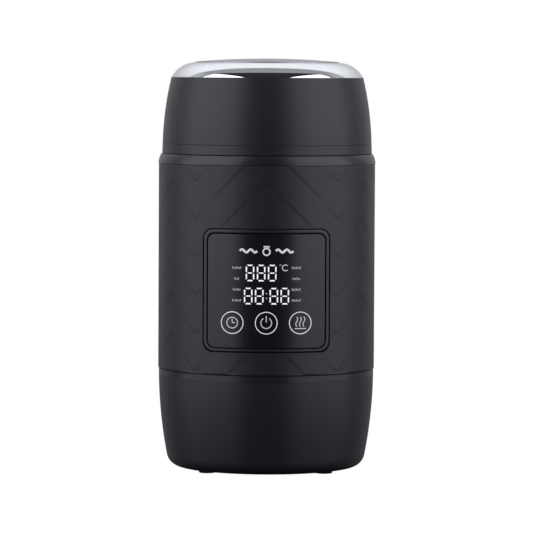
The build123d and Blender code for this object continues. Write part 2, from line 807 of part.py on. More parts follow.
# ---------------------------------------------------------------- inner lid
def inner_lid_plate():
    """Steel disc of the inner lid, stiffened by a pressed ring."""
    edge = lip_r - gasket_w / 2 - gasket_in
    plate = disc(edge, plate_z, plate_z + inner_plate_t)
    inner, outer = press_r - press_w / 2, press_r + press_w / 2
    plate += tube(inner, outer, plate_z + inner_plate_t, plate_z + 2 * inner_plate_t)
    plate -= tube(inner + inner_plate_t, outer - inner_plate_t, plate_z, plate_z + inner_plate_t)
    return plate - disc(pivot_r + pivot_gap, plate_z, hub_z)


def lid_gasket():
    """Silicone ring that grips the inner lid's edge and seals on the pot's rim."""
    outer = lip_r - gasket_in
    low = plate_z - gasket_foot
    ring = tube(outer - gasket_w, outer, low, low + gasket_h)
    edges = ring.edges().filter_by(GeomType.CIRCLE).group_by(SortBy.RADIUS)[-1]
    ring = fillet(edges, gasket_edge)
    return ring - disc(outer - gasket_w / 2, plate_z, plate_z + inner_plate_t)


def inner_lid_hub():
    """Bearing hub riveted on the inner lid."""
    hub = tube(pivot_r + pivot_gap, hub_r, hub_z, hub_z + hub_t)
    return fillet(hub.edges().group_by(Axis.Z)[-1], hub_t / 5)


# ---------------------------------------------------------------- lid
def lid_skirt_ring():
    """Lower ring of the lid with the lock lugs inside and a tongue for the cover."""
    foot = (skirt_r, z_skirt)
    head = (cover_low_r, z_cover)
    ring = spun(*line((skirt_bore, z_skirt), foot, head, (skirt_bore + tongue_t, z_cover),
                      (skirt_bore + tongue_t, z_cover + tongue_h), (skirt_bore, z_cover + tongue_h),
                      (skirt_bore, z_skirt)))
    top = lug_z - lug_slack
    for i in range(lug_count):
        middle_deg = -90 + i * 360 / lug_count + lug_offset_deg
        ring += sector(neck_r + lock_gap, skirt_bore + 0.5, top - lid_lug_t, top, middle_deg, lug_deg)
    return ring


cover_arc = [(cover_low_r, z_cover), (body_r - cover_mid_in, z_cover + cover_h / 2),
             (cover_top_r, z_trim)]


def cover_core(inset, top):
    """The cover's full form up to a height, made smaller by an inset."""
    low, middle, high = [(r - inset, z) for r, z in cover_arc]
    core = spun(*line((0, z_trim), (0, z_cover), low), ThreePointArc(low, middle, high),
                *line(high, (0, z_trim)))
    return core & disc(body_r, z_cover, top)


def lid_cover():
    """Barrel-shaped cover with screw bosses under its top flange."""
    shell = cover_core(0, z_trim) - cover_core(lid_wall, z_trim - lid_top_t)
    shell -= disc(cover_top_r - lid_flange_w, z_trim - lid_top_t, z_trim)
    shell -= disc(skirt_bore + tongue_t + snug, z_cover, z_cover + tongue_h + snug)
    boss_foot = floor_z + lid_floor_t
    for place in cross(lid_screw_ring_r, boss_foot, 45):
        shell += place * Cylinder(lid_boss_r, z_trim - lid_top_t - boss_foot, align=UP)
        shell -= place * Cylinder(screw_r + thread_gap, pilot_l, align=UP)
    return shell


def lid_floor():
    """Floor of the lid, with the pivot boss of the inner lid."""
    radius = radius_on_arc(floor_z + lid_floor_t, *cover_arc) - lid_wall - fit
    floor = disc(radius, floor_z, floor_z + lid_floor_t)
    floor += disc(hub_r, hub_z + hub_t + fit, floor_z)
    floor += disc(pivot_head_r, floor_z, floor_z + lid_floor_t + pivot_boss_h)
    floor -= disc(pivot_thread_r + thread_gap, hub_z, floor_z + lid_floor_t + pivot_boss_h - 1)
    for place in cross(lid_screw_ring_r, floor_z, 45):
        floor -= place * Cylinder(screw_r + snug, lid_floor_t, align=UP)
    return floor


def lid_insulation():
    """Foam that fills the lid."""
    low = floor_z + lid_floor_t + snug
    foam = disc(lid_screw_ring_r - lid_boss_r - fit, low, z_trim - lid_top_t - snug)
    return foam - disc(pivot_head_r + fit, low, floor_z + lid_floor_t + pivot_boss_h + fit)


def lid_screws():
    """Screws that hold the lid's floor to the cover."""
    one = screw(screw_r, screw_head_r, screw_head_t, lid_floor_t + pilot_l - 2)
    return [place * one for place in cross(lid_screw_ring_r, floor_z, 45)]


def lid_trim_ring():
    """Bright pressed ring: a rounded shoulder from the cover up to the top plate."""
    rim = plate_edge_r + snug + rim_t
    ledge = rim - seat_w
    foot = (cover_top_r, z_trim)
    shoulder = (cover_top_r - shoulder_in, z_trim + shoulder_up)
    inner_foot = (cover_top_r - trim_t, z_trim)
    inner_shoulder = (shoulder[0] - 0.65 * trim_t, shoulder[1] - 0.75 * trim_t)
    inner_head = (ledge, z_plate - trim_t - seat_t)
    return spun(ThreePointArc(foot, shoulder, (rim, z_plate)),
                *line((rim, z_plate), (plate_edge_r + snug, z_plate - rim_t / 3),
                      (plate_edge_r + snug, z_plate - seat_t),
                      (ledge, z_plate - seat_t), inner_head),
                ThreePointArc(inner_head, inner_shoulder, inner_foot),
                *line(inner_foot, foot))


def lid_top_plate():
    """Domed plate set into the bright ring."""
    rise = z_crown - z_plate + plate_edge_sunk
    ball_r = (plate_edge_r ** 2 + rise ** 2) / (2 * rise)
    return disc(plate_edge_r, z_plate - seat_t, z_crown) & Pos(0, 0, z_crown - ball_r) * Sphere(ball_r)


def pivot_screw():
    """Shoulder screw on which the inner lid swivels."""
    washer_top = plate_z - fit
    washer_foot = washer_top - washer_t
    head = disc(pivot_head_r, washer_foot - pivot_head_t, washer_foot)
    head = fillet(head.edges().group_by(Axis.Z)[0], pivot_head_t / 3)
    head += disc(pivot_r, washer_foot, hub_z + hub_t + fit)
    return head + disc(pivot_thread_r, washer_foot, floor_z + lid_floor_t + pivot_boss_h - 1.5)


def pivot_washer():
    """Washer under the inner lid."""
    top = plate_z - fit
    return tube(pivot_r + thread_gap, washer_r, top - washer_t, top)


# ---------------------------------------------------------------- control panel
def panel_window():
    """Smoked window, curved with the barrel."""
    face_r = body_r - window_sunk
    shape = front_prism(panel_w - 2 * (bezel_side + panel_gap),
                        panel_h - bezel_top - bezel_bottom - 2 * panel_gap,
                        z_panel + bezel_bottom + panel_gap, window_corner - panel_gap)
    return shape & tube(bezel_in + glue_gap, face_r, z_panel, z_panel + panel_h)


def panel_bezel():
    """Curved frame: visible rim, ledge for the window, flange and board posts."""
    whole = tube(flange_in, body_r, z_sleeve, z_collar)
    rim = front_prism(panel_w, panel_h, z_panel, panel_corner) & whole
    grow = 2 * bezel_flange_w
    flange = front_prism(panel_w + grow, panel_h + grow, z_panel - bezel_flange_w,
                         panel_corner + bezel_flange_w)
    flange = flange & tube(flange_in, sleeve_bore - glue_gap, z_sleeve, z_collar)
    pocket = front_prism(panel_w - 2 * bezel_side, panel_h - bezel_top - bezel_bottom,
                         z_panel + bezel_bottom, window_corner)
    through = front_prism(panel_w - 4 * bezel_side, panel_h - 2 * (bezel_top + bezel_bottom),
                          z_panel + 2 * bezel_bottom, window_corner)
    bezel = rim + flange - (pocket & tube(bezel_in, 2 * body_r, z_sleeve, z_collar)) - through
    reach = disc(sleeve_bore - snug, z_sleeve, z_collar)
    for height in (post_low, post_high):
        low = z_pcb + height - post_h / 2
        posts = block(-panel_w / 2, panel_w / 2, -body_r, fit - pcb_back_y, low, low + post_h)
        posts -= block(fit - post_x + post_w / 2, post_x - post_w / 2 - fit, -body_r, 0,
                       low, low + post_h)
        posts -= block(-pcb_half_w - fit, pcb_half_w + fit, -pcb_front_y, 0, low, low + post_h)
        bezel += posts & reach
    for place in display_screw_places():
        bezel -= place * Cylinder(small_screw_r + thread_gap, pcb_t + post_screw_l, align=UP)
    return bezel


def display_screw_places():
    """Screws through the display board, pointing out to the posts."""
    return [Pos(side * post_x, -pcb_back_y, z_pcb + height) * Rot(90, 0, 0)
            for side in (-1, 1) for height in (post_low, post_high)]


def display_screws():
    """Screws that hold the display board."""
    one = screw(small_screw_r, small_head_r, small_head_t, pcb_t + post_screw_l - 0.2)
    return [place * one for place in display_screw_places()]


def display_board():
    """Flat board behind the window."""
    board = block(-pcb_half_w, pcb_half_w, -pcb_front_y, -pcb_back_y, z_pcb, z_pcb + pcb_h)
    for place in display_screw_places():
        board -= place * Cylinder(small_screw_r + thread_gap, pcb_t, align=UP)
    return board


def display_module():
    """Block of lit digits."""
    middle = z_panel + module_up
    return block(-module_w / 2, module_w / 2, -pcb_front_y - module_t, -pcb_front_y,
                 middle - module_h / 2, middle + module_h / 2)


def touch_pads():
    """Conductive pads that carry each touch key to the window's back."""
    pads = []
    for i in (-1, 0, 1):
        pad = Cylinder(touch_r, body_r, align=UP)
        pad = Pos(i * touch_pitch, -pcb_front_y, z_panel + touch_up) * Rot(90, 0, 0) * pad
        pads.append(pad & disc(bezel_in - 0.1, z_sleeve, z_collar))
    return pads


# ---------------------------------------------------------------- write every piece
PIECES = [
    base_housing, base_plate, feet, base_screws, power_inlet, inlet_pins, inlet_screws,
    power_board, board_screws, transformer, filter_capacitor, relay, terminal_block,
    ribbon_header, mains_leads, heater_leads, display_ribbon, lower_ring, heat_shield,
    outer_sleeve, insulation_sleeve, collar_ring, collar_screws, heating_cup, heater_band,
    heating_plate, heater_element, thermal_fuse, sensor_housing, sensor_plunger, sensor_spring,
    inner_pot, inner_lid_plate, lid_gasket, inner_lid_hub, lid_skirt_ring, lid_cover, lid_floor,
    lid_insulation, lid_screws, lid_trim_ring, lid_top_plate, pivot_screw, pivot_washer,
    panel_bezel, panel_window, display_board, display_module, touch_pads, display_screws,
]


def main():
    """Build each piece and write it under its function's name."""
    os.makedirs("parts", exist_ok=True)
    for piece in PIECES:
        made = piece()
        solids = made if isinstance(made, list) else [made]
        group = Compound(children=[solid for one in solids for solid in one.solids()])
        export_step(group, f"parts/{piece.__name__}.step")


main()
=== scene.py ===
"""Looks of a portable yogurt maker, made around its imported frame. All lengths are metres."""
import math

import bpy
import numpy as np
from bpy.props import FloatProperty, FloatVectorProperty, IntProperty, PointerProperty
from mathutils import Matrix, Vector


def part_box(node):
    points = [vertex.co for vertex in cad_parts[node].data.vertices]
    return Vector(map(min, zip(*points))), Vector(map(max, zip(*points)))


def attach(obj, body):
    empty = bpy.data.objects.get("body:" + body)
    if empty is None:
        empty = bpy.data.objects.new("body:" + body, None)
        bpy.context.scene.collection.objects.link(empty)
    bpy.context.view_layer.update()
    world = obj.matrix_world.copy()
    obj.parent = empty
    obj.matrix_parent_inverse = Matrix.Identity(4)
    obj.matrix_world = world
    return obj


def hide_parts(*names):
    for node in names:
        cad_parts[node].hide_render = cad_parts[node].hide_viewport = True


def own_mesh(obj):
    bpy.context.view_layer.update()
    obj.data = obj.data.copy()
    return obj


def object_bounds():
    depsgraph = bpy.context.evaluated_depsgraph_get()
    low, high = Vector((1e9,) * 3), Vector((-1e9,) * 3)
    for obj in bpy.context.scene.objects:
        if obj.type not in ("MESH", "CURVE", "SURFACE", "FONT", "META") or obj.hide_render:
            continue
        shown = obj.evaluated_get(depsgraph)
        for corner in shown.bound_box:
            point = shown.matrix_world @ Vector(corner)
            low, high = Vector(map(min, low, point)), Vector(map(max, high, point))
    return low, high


bl_info = {
    "name": "Yogurt maker",
    "version": (1, 0, 0),
    "blender": (4, 5, 0),
    "location": "View3D > Sidebar > Yogurt maker",
    "description": "Shells, rings, control panel and finishes of a barrel-shaped yogurt maker",
    "category": "Object",
}

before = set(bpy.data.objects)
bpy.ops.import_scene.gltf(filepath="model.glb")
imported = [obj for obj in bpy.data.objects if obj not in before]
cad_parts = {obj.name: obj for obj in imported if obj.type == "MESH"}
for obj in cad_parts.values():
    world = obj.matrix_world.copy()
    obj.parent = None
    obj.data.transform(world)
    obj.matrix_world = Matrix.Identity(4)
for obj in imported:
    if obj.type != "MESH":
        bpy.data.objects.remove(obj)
CAD_LOW, CAD_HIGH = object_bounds()
MM = 0.001


# ------------------------------------------------------------------ sizes read from the frame
def foot_of(node):
    """Lowest height of a CAD node."""
    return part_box(node)[0].z


def head_of(node):
    """Highest height of a CAD node."""
    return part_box(node)[1].z


def radius_of(node):
    """Widest radius of a round CAD node."""
    low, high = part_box(node)
    return (high.x - low.x) / 2


# ------------------------------------------------------------------ settings
def length(name, default, about):
    """A length in metres that a user may set."""
    return FloatProperty(name=name, default=default, unit="LENGTH", precision=5, description=about)


def tilt(name, degrees, about):
    """An angle that a user may set."""
    return FloatProperty(name=name, default=math.radians(degrees), subtype="ANGLE",
                         description=about)


def level(name, default, about):
    """A brightness that a user may set, where white is 1."""
    return FloatProperty(name=name, default=default, min=0, description=about)


def colour(name, default, about):
    """A colour that a user may set."""
    return FloatVectorProperty(name=name, default=default, size=3, subtype="COLOR", min=0, max=1,
                               description=about)


class BarrelSizes(bpy.types.PropertyGroup):
    """Sizes of the turned shells that the frame's boxes don't say."""
    wall: length("Outer wall", 2.4 * MM, "Wall of the base and the sleeve")
    lid_wall: length("Lid wall", 2.2 * MM, "Wall of the lid cover")
    edge: length("Edge", 0.22 * MM, "Rounding of moulded edges")
    relief: length("Relief", 0.26 * MM, "How far the sleeve's facets stand out")
    facet_high: length("Facet height", 11.23 * MM, "Half the height of a diamond facet")
    facet_top: length("Facet top", 9.1 * MM, "First row of facet corners below the sleeve's top")
    facets: IntProperty(name="Facets", default=18, description="Facets round the sleeve")
    turns: IntProperty(name="Round steps", default=288, description="Steps round a turned shell")


class PanelSizes(bpy.types.PropertyGroup):
    """Sizes on the control panel."""
    side: length("Bezel side", 2.5 * MM, "Visible width of the bezel at its sides")
    top: length("Bezel top", 2.9 * MM, "Visible width of the bezel at its top")
    bottom: length("Bezel bottom", 2.0 * MM, "Visible width of the bezel at its bottom")
    gap: length("Groove", 0.25 * MM, "Gap round the window and round the bezel")
    groove: length("Step", 0.40 * MM, "Step beside the bezel's raised bead, on each side")
    groove_deep: length("Step depth", 1.1 * MM, "Depth of those steps")
    corner: length("Corner", 5.7 * MM, "Corner radius of the bezel")
    window_corner: length("Window corner", 4.05 * MM, "Corner radius of the window")
    ink: length("Print", 0.05 * MM, "How far the printed signs stand on the window")
    digit_w: length("Digit width", 5.0 * MM, "Width of a digit")
    digit_h: length("Digit height", 9.7 * MM, "Height of a digit")
    digit_t: length("Digit stroke", 0.80 * MM, "Stroke of a digit")
    key_r: length("Key radius", 6.6 * MM, "Outer radius of a touch key's ring")
    key_t: length("Key stroke", 0.46 * MM, "Stroke of a touch key's ring")
    key_pitch: length("Key pitch", 19.9 * MM, "From one touch key to the next")


class FinishColours(bpy.types.PropertyGroup):
    """Colours of the finishes, in linear light."""
    satin: colour("Satin black", (0.0114, 0.0120, 0.0184), "Lid and base")
    sleeve: colour("Sleeve black", (0.0125, 0.0130, 0.0190), "Patterned sleeve")
    gloss: colour("Gloss black", (0.0110, 0.0112, 0.0170), "Collar and lower ring")
    bezel: colour("Bezel black", (0.0150, 0.0155, 0.0220), "Bezel of the panel")
    window: colour("Window black", (0.0060, 0.0062, 0.0095), "Smoked window")
    bright: colour("Bright ring", (0.80, 0.81, 0.84), "Plated ring")
    top: colour("Top plate", (0.36, 0.36, 0.375), "Domed plate of the lid")
    steel: colour("Steel", (0.60, 0.60, 0.59), "Pot and inner lid")


class StudioSettings(bpy.types.PropertyGroup):
    """Camera and lights."""
    eye: length("Eye distance", 2.160, "From the barrel's axis to the lens")
    eye_up: length("Eye height", 0.2425, "Height of the lens above the table")
    pitch: tilt("Pitch", 3.204, "Camera's tilt down")
    roll: tilt("Roll", 0.28, "Camera's roll")
    lens: FloatProperty(name="Lens", default=243.2, unit="CAMERA",
                        description="Focal length in millimetres")
    side_light: level("Side light", 1.85, "Brightness of the soft boxes")
    backdrop: level("Backdrop", 1.1, "Brightness behind, high up")
    low: level("Low backdrop", 0.58, "Brightness behind, low down")
    ceiling: level("Ceiling", 0.36, "Brightness overhead")


# ------------------------------------------------------------------ meshes
def solid(name, points, faces, body, material, replaced=(), slot=None):
    """Puts points (N, 3) and faces into a mesh object that rides on a body. Faces are turned
    outwards by the sign of the enclosed volume, which is summed over the fans of all faces."""
    mesh = bpy.data.meshes.new(name)
    mesh.from_pydata(points.tolist(), [], [list(map(int, face)) for face in faces])
    mesh.update()
    mesh.calc_loop_triangles()
    corners = np.empty(len(mesh.loop_triangles) * 3, dtype=np.int32)
    mesh.loop_triangles.foreach_get("vertices", corners)
    a, b, c = (points[corners.reshape(-1, 3)[:, i]] for i in range(3))
    if np.einsum("ij,ij->i", a, np.cross(b, c)).sum() < 0:
        mesh.flip_normals()
    mesh.shade_smooth()
    mesh.materials.append(material)
    piece = bpy.data.objects.new(name, mesh)
    bpy.context.scene.collection.objects.link(piece)
    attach(piece, body)
    if replaced:
        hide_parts(*replaced)
    return piece


def grid_faces(rows, columns, wrap_rows, wrap_columns):
    """Quads of a grid of points, row after row; either way may close on itself."""
    i = np.arange(rows if wrap_rows else rows - 1)[:, None]
    j = np.arange(columns if wrap_columns else columns - 1)[None, :]
    down, right = (i + 1) % rows, (j + 1) % columns
    quads = np.stack(np.broadcast_arrays(i * columns + j, i * columns + right,
                                         down * columns + right, down * columns + j), axis=-1)
    return quads.reshape(-1, 4)


def lathe(profile, turns):
    """Surface of revolution. Point (k, t) is profile k's radius at angle t round Z, at profile
    k's height. The profile is a closed loop, or starts and ends on the axis in a pole."""
    profile = np.asarray(profile, dtype=float)
    angle = np.arange(turns) * 2 * math.pi / turns
    poles = profile[0, 0] < 1e-9
    ring = profile[1:-1] if poles else profile
    points = np.stack([ring[:, :1] * np.cos(angle), ring[:, :1] * np.sin(angle),
                       np.broadcast_to(ring[:, 1:], (len(ring), turns))], axis=-1).reshape(-1, 3)
    faces = grid_faces(len(ring), turns, not poles, True).tolist()
    if poles:
        first, last = len(points), len(points) + 1
        tail = (len(ring) - 1) * turns
        step = np.arange(turns)
        after = (step + 1) % turns
        faces += np.stack([np.full(turns, first), after, step], axis=1).tolist()
        faces += np.stack([np.full(turns, last), tail + step, tail + after], axis=1).tolist()
        ends = [[0, 0, profile[0, 1]], [0, 0, profile[-1, 1]]]
        points = np.concatenate([points, ends])
    return points, faces


def circle_through(a, b, c):
    """Centre and radius of the circle through three points: the centre is where the
    perpendicular bisectors of ab and bc meet."""
    a, b, c = (np.asarray(p, dtype=float) for p in (a, b, c))
    rows = 2 * np.array([b - a, c - b])
    centre = np.linalg.solve(rows, [b @ b - a @ a, c @ c - b @ b])
    return centre, np.linalg.norm(a - centre)


def arc(a, b, c, steps):
    """Points on the circle from a through b to c, in the (radius, height) plane."""
    centre, size = circle_through(a, b, c)
    turn = [math.atan2(p[1] - centre[1], p[0] - centre[0]) for p in (a, c)]
    sweep = (turn[1] - turn[0] + math.pi) % (2 * math.pi) - math.pi
    angle = turn[0] + sweep * np.linspace(0, 1, steps)
    return centre + size * np.stack([np.cos(angle), np.sin(angle)], axis=1)


def corner_arc(centre, size, start, end, steps=7):
    """Points on a circle from one angle to another, in degrees."""
    angle = np.radians(np.linspace(start, end, steps))
    return np.asarray(centre) + size * np.stack([np.cos(angle), np.sin(angle)], axis=1)


def soften(piece, width, segments=3):
    """Rounds a piece's sharp edges with a bevel whose flats keep their own normals. An edge is
    sharp where its two faces turn by more than 32 degrees."""
    bevel = piece.modifiers.new("edges", "BEVEL")
    bevel.width = width
    bevel.segments = segments
    bevel.limit_method = "ANGLE"
    bevel.angle_limit = math.radians(32)
    bevel.harden_normals = True


def sector(inner, outer, low, high, middle_deg, width_deg, steps=14):
    """Part of a ring: a square section carried round an arc, with both ends closed."""
    angle = np.radians(np.linspace(middle_deg - width_deg / 2, middle_deg + width_deg / 2, steps))
    section = np.array([[inner, low], [outer, low], [outer, high], [inner, high]])
    points = np.stack([section[None, :, 0] * np.cos(angle)[:, None],
                       section[None, :, 0] * np.sin(angle)[:, None],
                       np.broadcast_to(section[None, :, 1], (steps, 4))], axis=-1).reshape(-1, 3)
    faces = grid_faces(steps, 4, False, True).tolist()
    last = 4 * (steps - 1)
    return points, faces + [[0, 1, 2, 3], [last + 3, last + 2, last + 1, last]]


def together(*shells):
    """Several closed shells as one set of points and faces."""
    points, faces, count = [], [], 0
    for shell_points, shell_faces in shells:
        points.append(shell_points)
        faces += [[count + corner for corner in face] for face in shell_faces]
        count += len(shell_points)
    return np.concatenate(points), faces


def cut(piece, points, faces):
    """Takes a closed shape away from a piece, for good."""
    tool = bpy.data.objects.new("cutter", bpy.data.meshes.new("cutter"))
    tool.data.from_pydata(points.tolist(), [], [list(map(int, face)) for face in faces])
    bpy.context.scene.collection.objects.link(tool)
    boolean = piece.modifiers.new("opening", "BOOLEAN")
    boolean.operation, boolean.solver, boolean.object = "DIFFERENCE", "EXACT", tool
    depsgraph = bpy.context.evaluated_depsgraph_get()
    whole = bpy.data.meshes.new_from_object(piece.evaluated_get(depsgraph))
    piece.modifiers.remove(boolean)
    piece.data = whole
    bpy.data.objects.remove(tool)


# ------------------------------------------------------------------ finishes
class Nodes:
    """A material's node tree with short ways to add and join nodes."""

    def __init__(self, name):
        self.material = bpy.data.materials.new(name)
        self.material.use_nodes = True
        self.tree = self.material.node_tree
        self.shader = self.tree.nodes["Principled BSDF"]
        self.place = self.tree.nodes.new("ShaderNodeTexCoord").outputs["Object"]

    def add(self, kind, **values):
        """Adds a node; values are its inputs by name or its own settings."""
        node = self.tree.nodes.new(kind)
        for key, value in values.items():
            if key in node.inputs:
                node.inputs[key].default_value = value
            else:
                setattr(node, key, value)
        return node

    def join(self, output, target):
        """Links an output to an input."""
        self.tree.links.new(output, target)

    def noise(self, scale, detail=2.0, stretch=(1, 1, 1)):
        """Noise in object space; stretch squeezes it along an axis."""
        spread = self.add("ShaderNodeMapping")
        spread.inputs["Scale"].default_value = stretch
        self.join(self.place, spread.inputs["Vector"])
        noise = self.add("ShaderNodeTexNoise", Scale=scale, Detail=detail)
        self.join(spread.outputs["Vector"], noise.inputs["Vector"])
        return noise.outputs["Fac"]

    def between(self, factor, low, high):
        """Maps a 0 to 1 factor to a range of numbers."""
        spread = self.add("ShaderNodeMapRange")
        spread.inputs["To Min"].default_value = low
        spread.inputs["To Max"].default_value = high
        self.join(factor, spread.inputs["Value"])
        return spread.outputs["Result"]

    def blend(self, factor, first, second):
        """Mixes two colours by a factor."""
        ramp = self.add("ShaderNodeValToRGB")
        ramp.color_ramp.elements[0].position = 0.3
        ramp.color_ramp.elements[1].position = 0.7
        ramp.color_ramp.elements[0].color = (*first, 1)
        ramp.color_ramp.elements[1].color = (*second, 1)
        self.join(factor, ramp.inputs["Fac"])
        return ramp.outputs["Color"]

    def relief(self, height, depth):
        """Bump from a height; depth is in metres."""
        bump = self.add("ShaderNodeBump", Strength=1.0, Distance=depth)
        self.join(height, bump.inputs["Height"])
        self.join(bump.outputs["Normal"], self.shader.inputs["Normal"])


def shade(base, factor):
    """A colour made lighter or darker."""
    return tuple(min(1.0, channel * factor) for channel in base)


def moulded(name, base, rough, grain, depth, coat=0.0):
    """Moulded plastic: even colour with faint mottling, spark-eroded grain and smudges that
    change its roughness."""
    nodes = Nodes(name)
    mottle = nodes.noise(60, 3)
    nodes.join(nodes.blend(mottle, shade(base, 0.93), shade(base, 1.07)),
               nodes.shader.inputs["Base Color"])
    nodes.join(nodes.between(nodes.noise(35, 4), rough - 0.03, rough + 0.03),
               nodes.shader.inputs["Roughness"])
    nodes.shader.inputs["Coat Weight"].default_value = coat
    nodes.shader.inputs["Coat Roughness"].default_value = 0.06
    nodes.relief(nodes.noise(grain, 2), depth)
    return nodes.material


def metal(name, base, rough, stretch=(1, 1, 1), grain=900, depth=2e-6, spread=0.04):
    """Metal: brushed along the squeezed axes, with roughness that follows the brushing."""
    nodes = Nodes(name)
    nodes.shader.inputs["Metallic"].default_value = 1.0
    strokes = nodes.noise(grain, 3, stretch)
    nodes.join(nodes.blend(strokes, shade(base, 0.94), shade(base, 1.05)),
               nodes.shader.inputs["Base Color"])
    nodes.join(nodes.between(strokes, rough - spread, rough + spread),
               nodes.shader.inputs["Roughness"])
    nodes.relief(strokes, depth)
    return nodes.material


def soft_rubber(name, base, rough=0.7, clear=0.0):
    """Rubber or silicone with a fine powdery grain."""
    nodes = Nodes(name)
    grain = nodes.noise(1800, 3)
    nodes.join(nodes.blend(grain, shade(base, 0.9), shade(base, 1.1)),
               nodes.shader.inputs["Base Color"])
    nodes.join(nodes.between(nodes.noise(150, 2), rough - 0.06, rough + 0.06),
               nodes.shader.inputs["Roughness"])
    nodes.shader.inputs["Subsurface Weight"].default_value = clear
    nodes.shader.inputs["Subsurface Scale"].default_value = 0.001
    nodes.relief(grain, 1e-5)
    return nodes.material


def lit_print(name, base, strength):
    """A sign that glows evenly, with a faint unevenness of its light guide: lit from behind on the
    display, and a painted glow on the printed emblem.
    """
    nodes = Nodes(name)
    glow = nodes.blend(nodes.noise(220, 2), shade(base, 0.9), base)
    nodes.join(glow, nodes.shader.inputs["Emission Color"])
    nodes.shader.inputs["Emission Strength"].default_value = strength
    nodes.join(nodes.blend(nodes.noise(400, 2), (0.3, 0.3, 0.3), (0.34, 0.34, 0.34)),
               nodes.shader.inputs["Base Color"])
    nodes.shader.inputs["Roughness"].default_value = 0.5
    return nodes.material


FINISHES = {}


def finish(name):
    """A finish by its name, made once."""
    if name not in FINISHES:
        FINISHES[name] = MAKERS[name]()
    return FINISHES[name]


def colours():
    """The colour settings."""
    return bpy.context.scene.finish_colours


MAKERS = {
    "satin": lambda: moulded("satin_black", colours().satin, 0.41, 2600, 4e-6),
    "sleeve": lambda: moulded("sleeve_black", colours().sleeve, 0.44, 2600, 4e-6),
    "gloss": lambda: moulded("gloss_black", colours().gloss, 0.32, 500, 6e-7, 0.05),
    "bezel": lambda: moulded("bezel_black", colours().bezel, 0.36, 1500, 2e-6),
    "window": lambda: moulded("window_black", colours().window, 0.29, 300, 2e-7),
    "bright": lambda: metal("bright_plating", colours().bright, 0.05, spread=0.015, depth=1e-7),
    "top": lambda: metal("top_plate_satin", colours().top, 0.38, grain=1500),
    "steel": lambda: metal("brushed_steel", colours().steel, 0.25, (1, 1, 14), 320, 3e-7),
    "spun_steel": lambda: metal("spun_steel", colours().steel, 0.27, grain=700, depth=3e-7),
    "aluminium": lambda: metal("satin_aluminium", (0.72, 0.73, 0.74), 0.32, (1, 1, 10), 300, 5e-7),
    "cast": lambda: metal("cast_aluminium", (0.5, 0.5, 0.51), 0.5, grain=600, depth=2e-5),
    "zinc": lambda: metal("zinc_plated", (0.62, 0.63, 0.65), 0.3, grain=1200, depth=3e-6),
    "brass": lambda: metal("bright_brass", (0.72, 0.52, 0.24), 0.25, (1, 8, 1)),
    "foot": lambda: soft_rubber("foot_rubber", (0.018, 0.018, 0.02), 0.72),
    "silicone": lambda: soft_rubber("clear_silicone", (0.62, 0.62, 0.6), 0.42, 0.35),
    "lead_brown": lambda: soft_rubber("brown_lead", (0.11, 0.045, 0.02), 0.5),
    "lead_white": lambda: soft_rubber("white_lead", (0.62, 0.62, 0.6), 0.5),
    "pad": lambda: soft_rubber("pad_foam", (0.12, 0.12, 0.125), 0.8),
    "heater": lambda: soft_rubber("heater_film", (0.42, 0.13, 0.03), 0.45),
    "felt": lambda: soft_rubber("insulating_felt", (0.66, 0.63, 0.57), 0.95),
    "foam": lambda: soft_rubber("lid_foam", (0.75, 0.75, 0.72), 0.95),
    "inlet": lambda: moulded("inlet_black", (0.012, 0.012, 0.012), 0.45, 1800, 8e-6),
    "guide": lambda: moulded("guide_black", (0.016, 0.016, 0.017), 0.4, 1500, 5e-6),
    "board": lambda: moulded("board_green", (0.012, 0.085, 0.03), 0.3, 500, 5e-6, 0.3),
    "core": lambda: metal("laminated_core", (0.22, 0.2, 0.17), 0.5, (1, 60, 1), 60, 2e-5),
    "can": lambda: moulded("can_sleeve", (0.012, 0.014, 0.03), 0.3, 400, 2e-6),
    "relay": lambda: moulded("relay_blue", (0.02, 0.07, 0.3), 0.35, 900, 3e-6),
    "terminal": lambda: moulded("terminal_green", (0.02, 0.2, 0.07), 0.45, 900, 5e-6),
    "header": lambda: moulded("header_white", (0.62, 0.6, 0.54), 0.45, 900, 5e-6),
    "ceramic": lambda: moulded("fuse_white", (0.7, 0.7, 0.66), 0.35, 900, 5e-6),
    "digits": lambda: lit_print("digit_light", (0.93, 0.95, 1.0), 0.90),
    "rings": lambda: lit_print("ring_light", (0.93, 0.94, 1.0), 0.66),
    "key_signs": lambda: lit_print("key_sign_light", (0.93, 0.94, 1.0), 0.42),
    "signs": lambda: lit_print("sign_light", (0.93, 0.94, 1.0), 0.22),
    # The printed jar emblem glows too: its emission is painted light on the ink, and the lit °C
    # sign shares it.
    "emblem": lambda: lit_print("unit_light_and_emblem_painted_glow", (0.93, 0.94, 1.0), 0.50),
}

NODE_FINISHES = {
    "base_plate": "satin", "base_screws": "zinc", "power_inlet": "inlet", "inlet_pins": "brass",
    "inlet_screws": "zinc", "power_board": "board", "board_screws": "zinc", "transformer": "core",
    "filter_capacitor": "can", "relay": "relay", "terminal_block": "terminal",
    "ribbon_header": "header", "mains_leads": "lead_brown", "heater_leads": "lead_white",
    "display_ribbon": "header", "heat_shield": "aluminium", "insulation_sleeve": "felt",
    "collar_screws": "zinc", "heater_band": "heater", "heating_plate": "cast",
    "heater_element": "zinc", "thermal_fuse": "ceramic", "sensor_housing": "guide",
    "sensor_plunger": "aluminium", "inner_lid_plate": "spun_steel", "lid_gasket": "silicone",
    "inner_lid_hub": "guide", "lid_floor": "satin", "lid_insulation": "foam",
    "lid_screws": "zinc", "pivot_screw": "zinc", "pivot_washer": "zinc",
    "display_board": "board", "display_module": "guide", "touch_pads": "pad",
    "display_screws": "zinc",
}


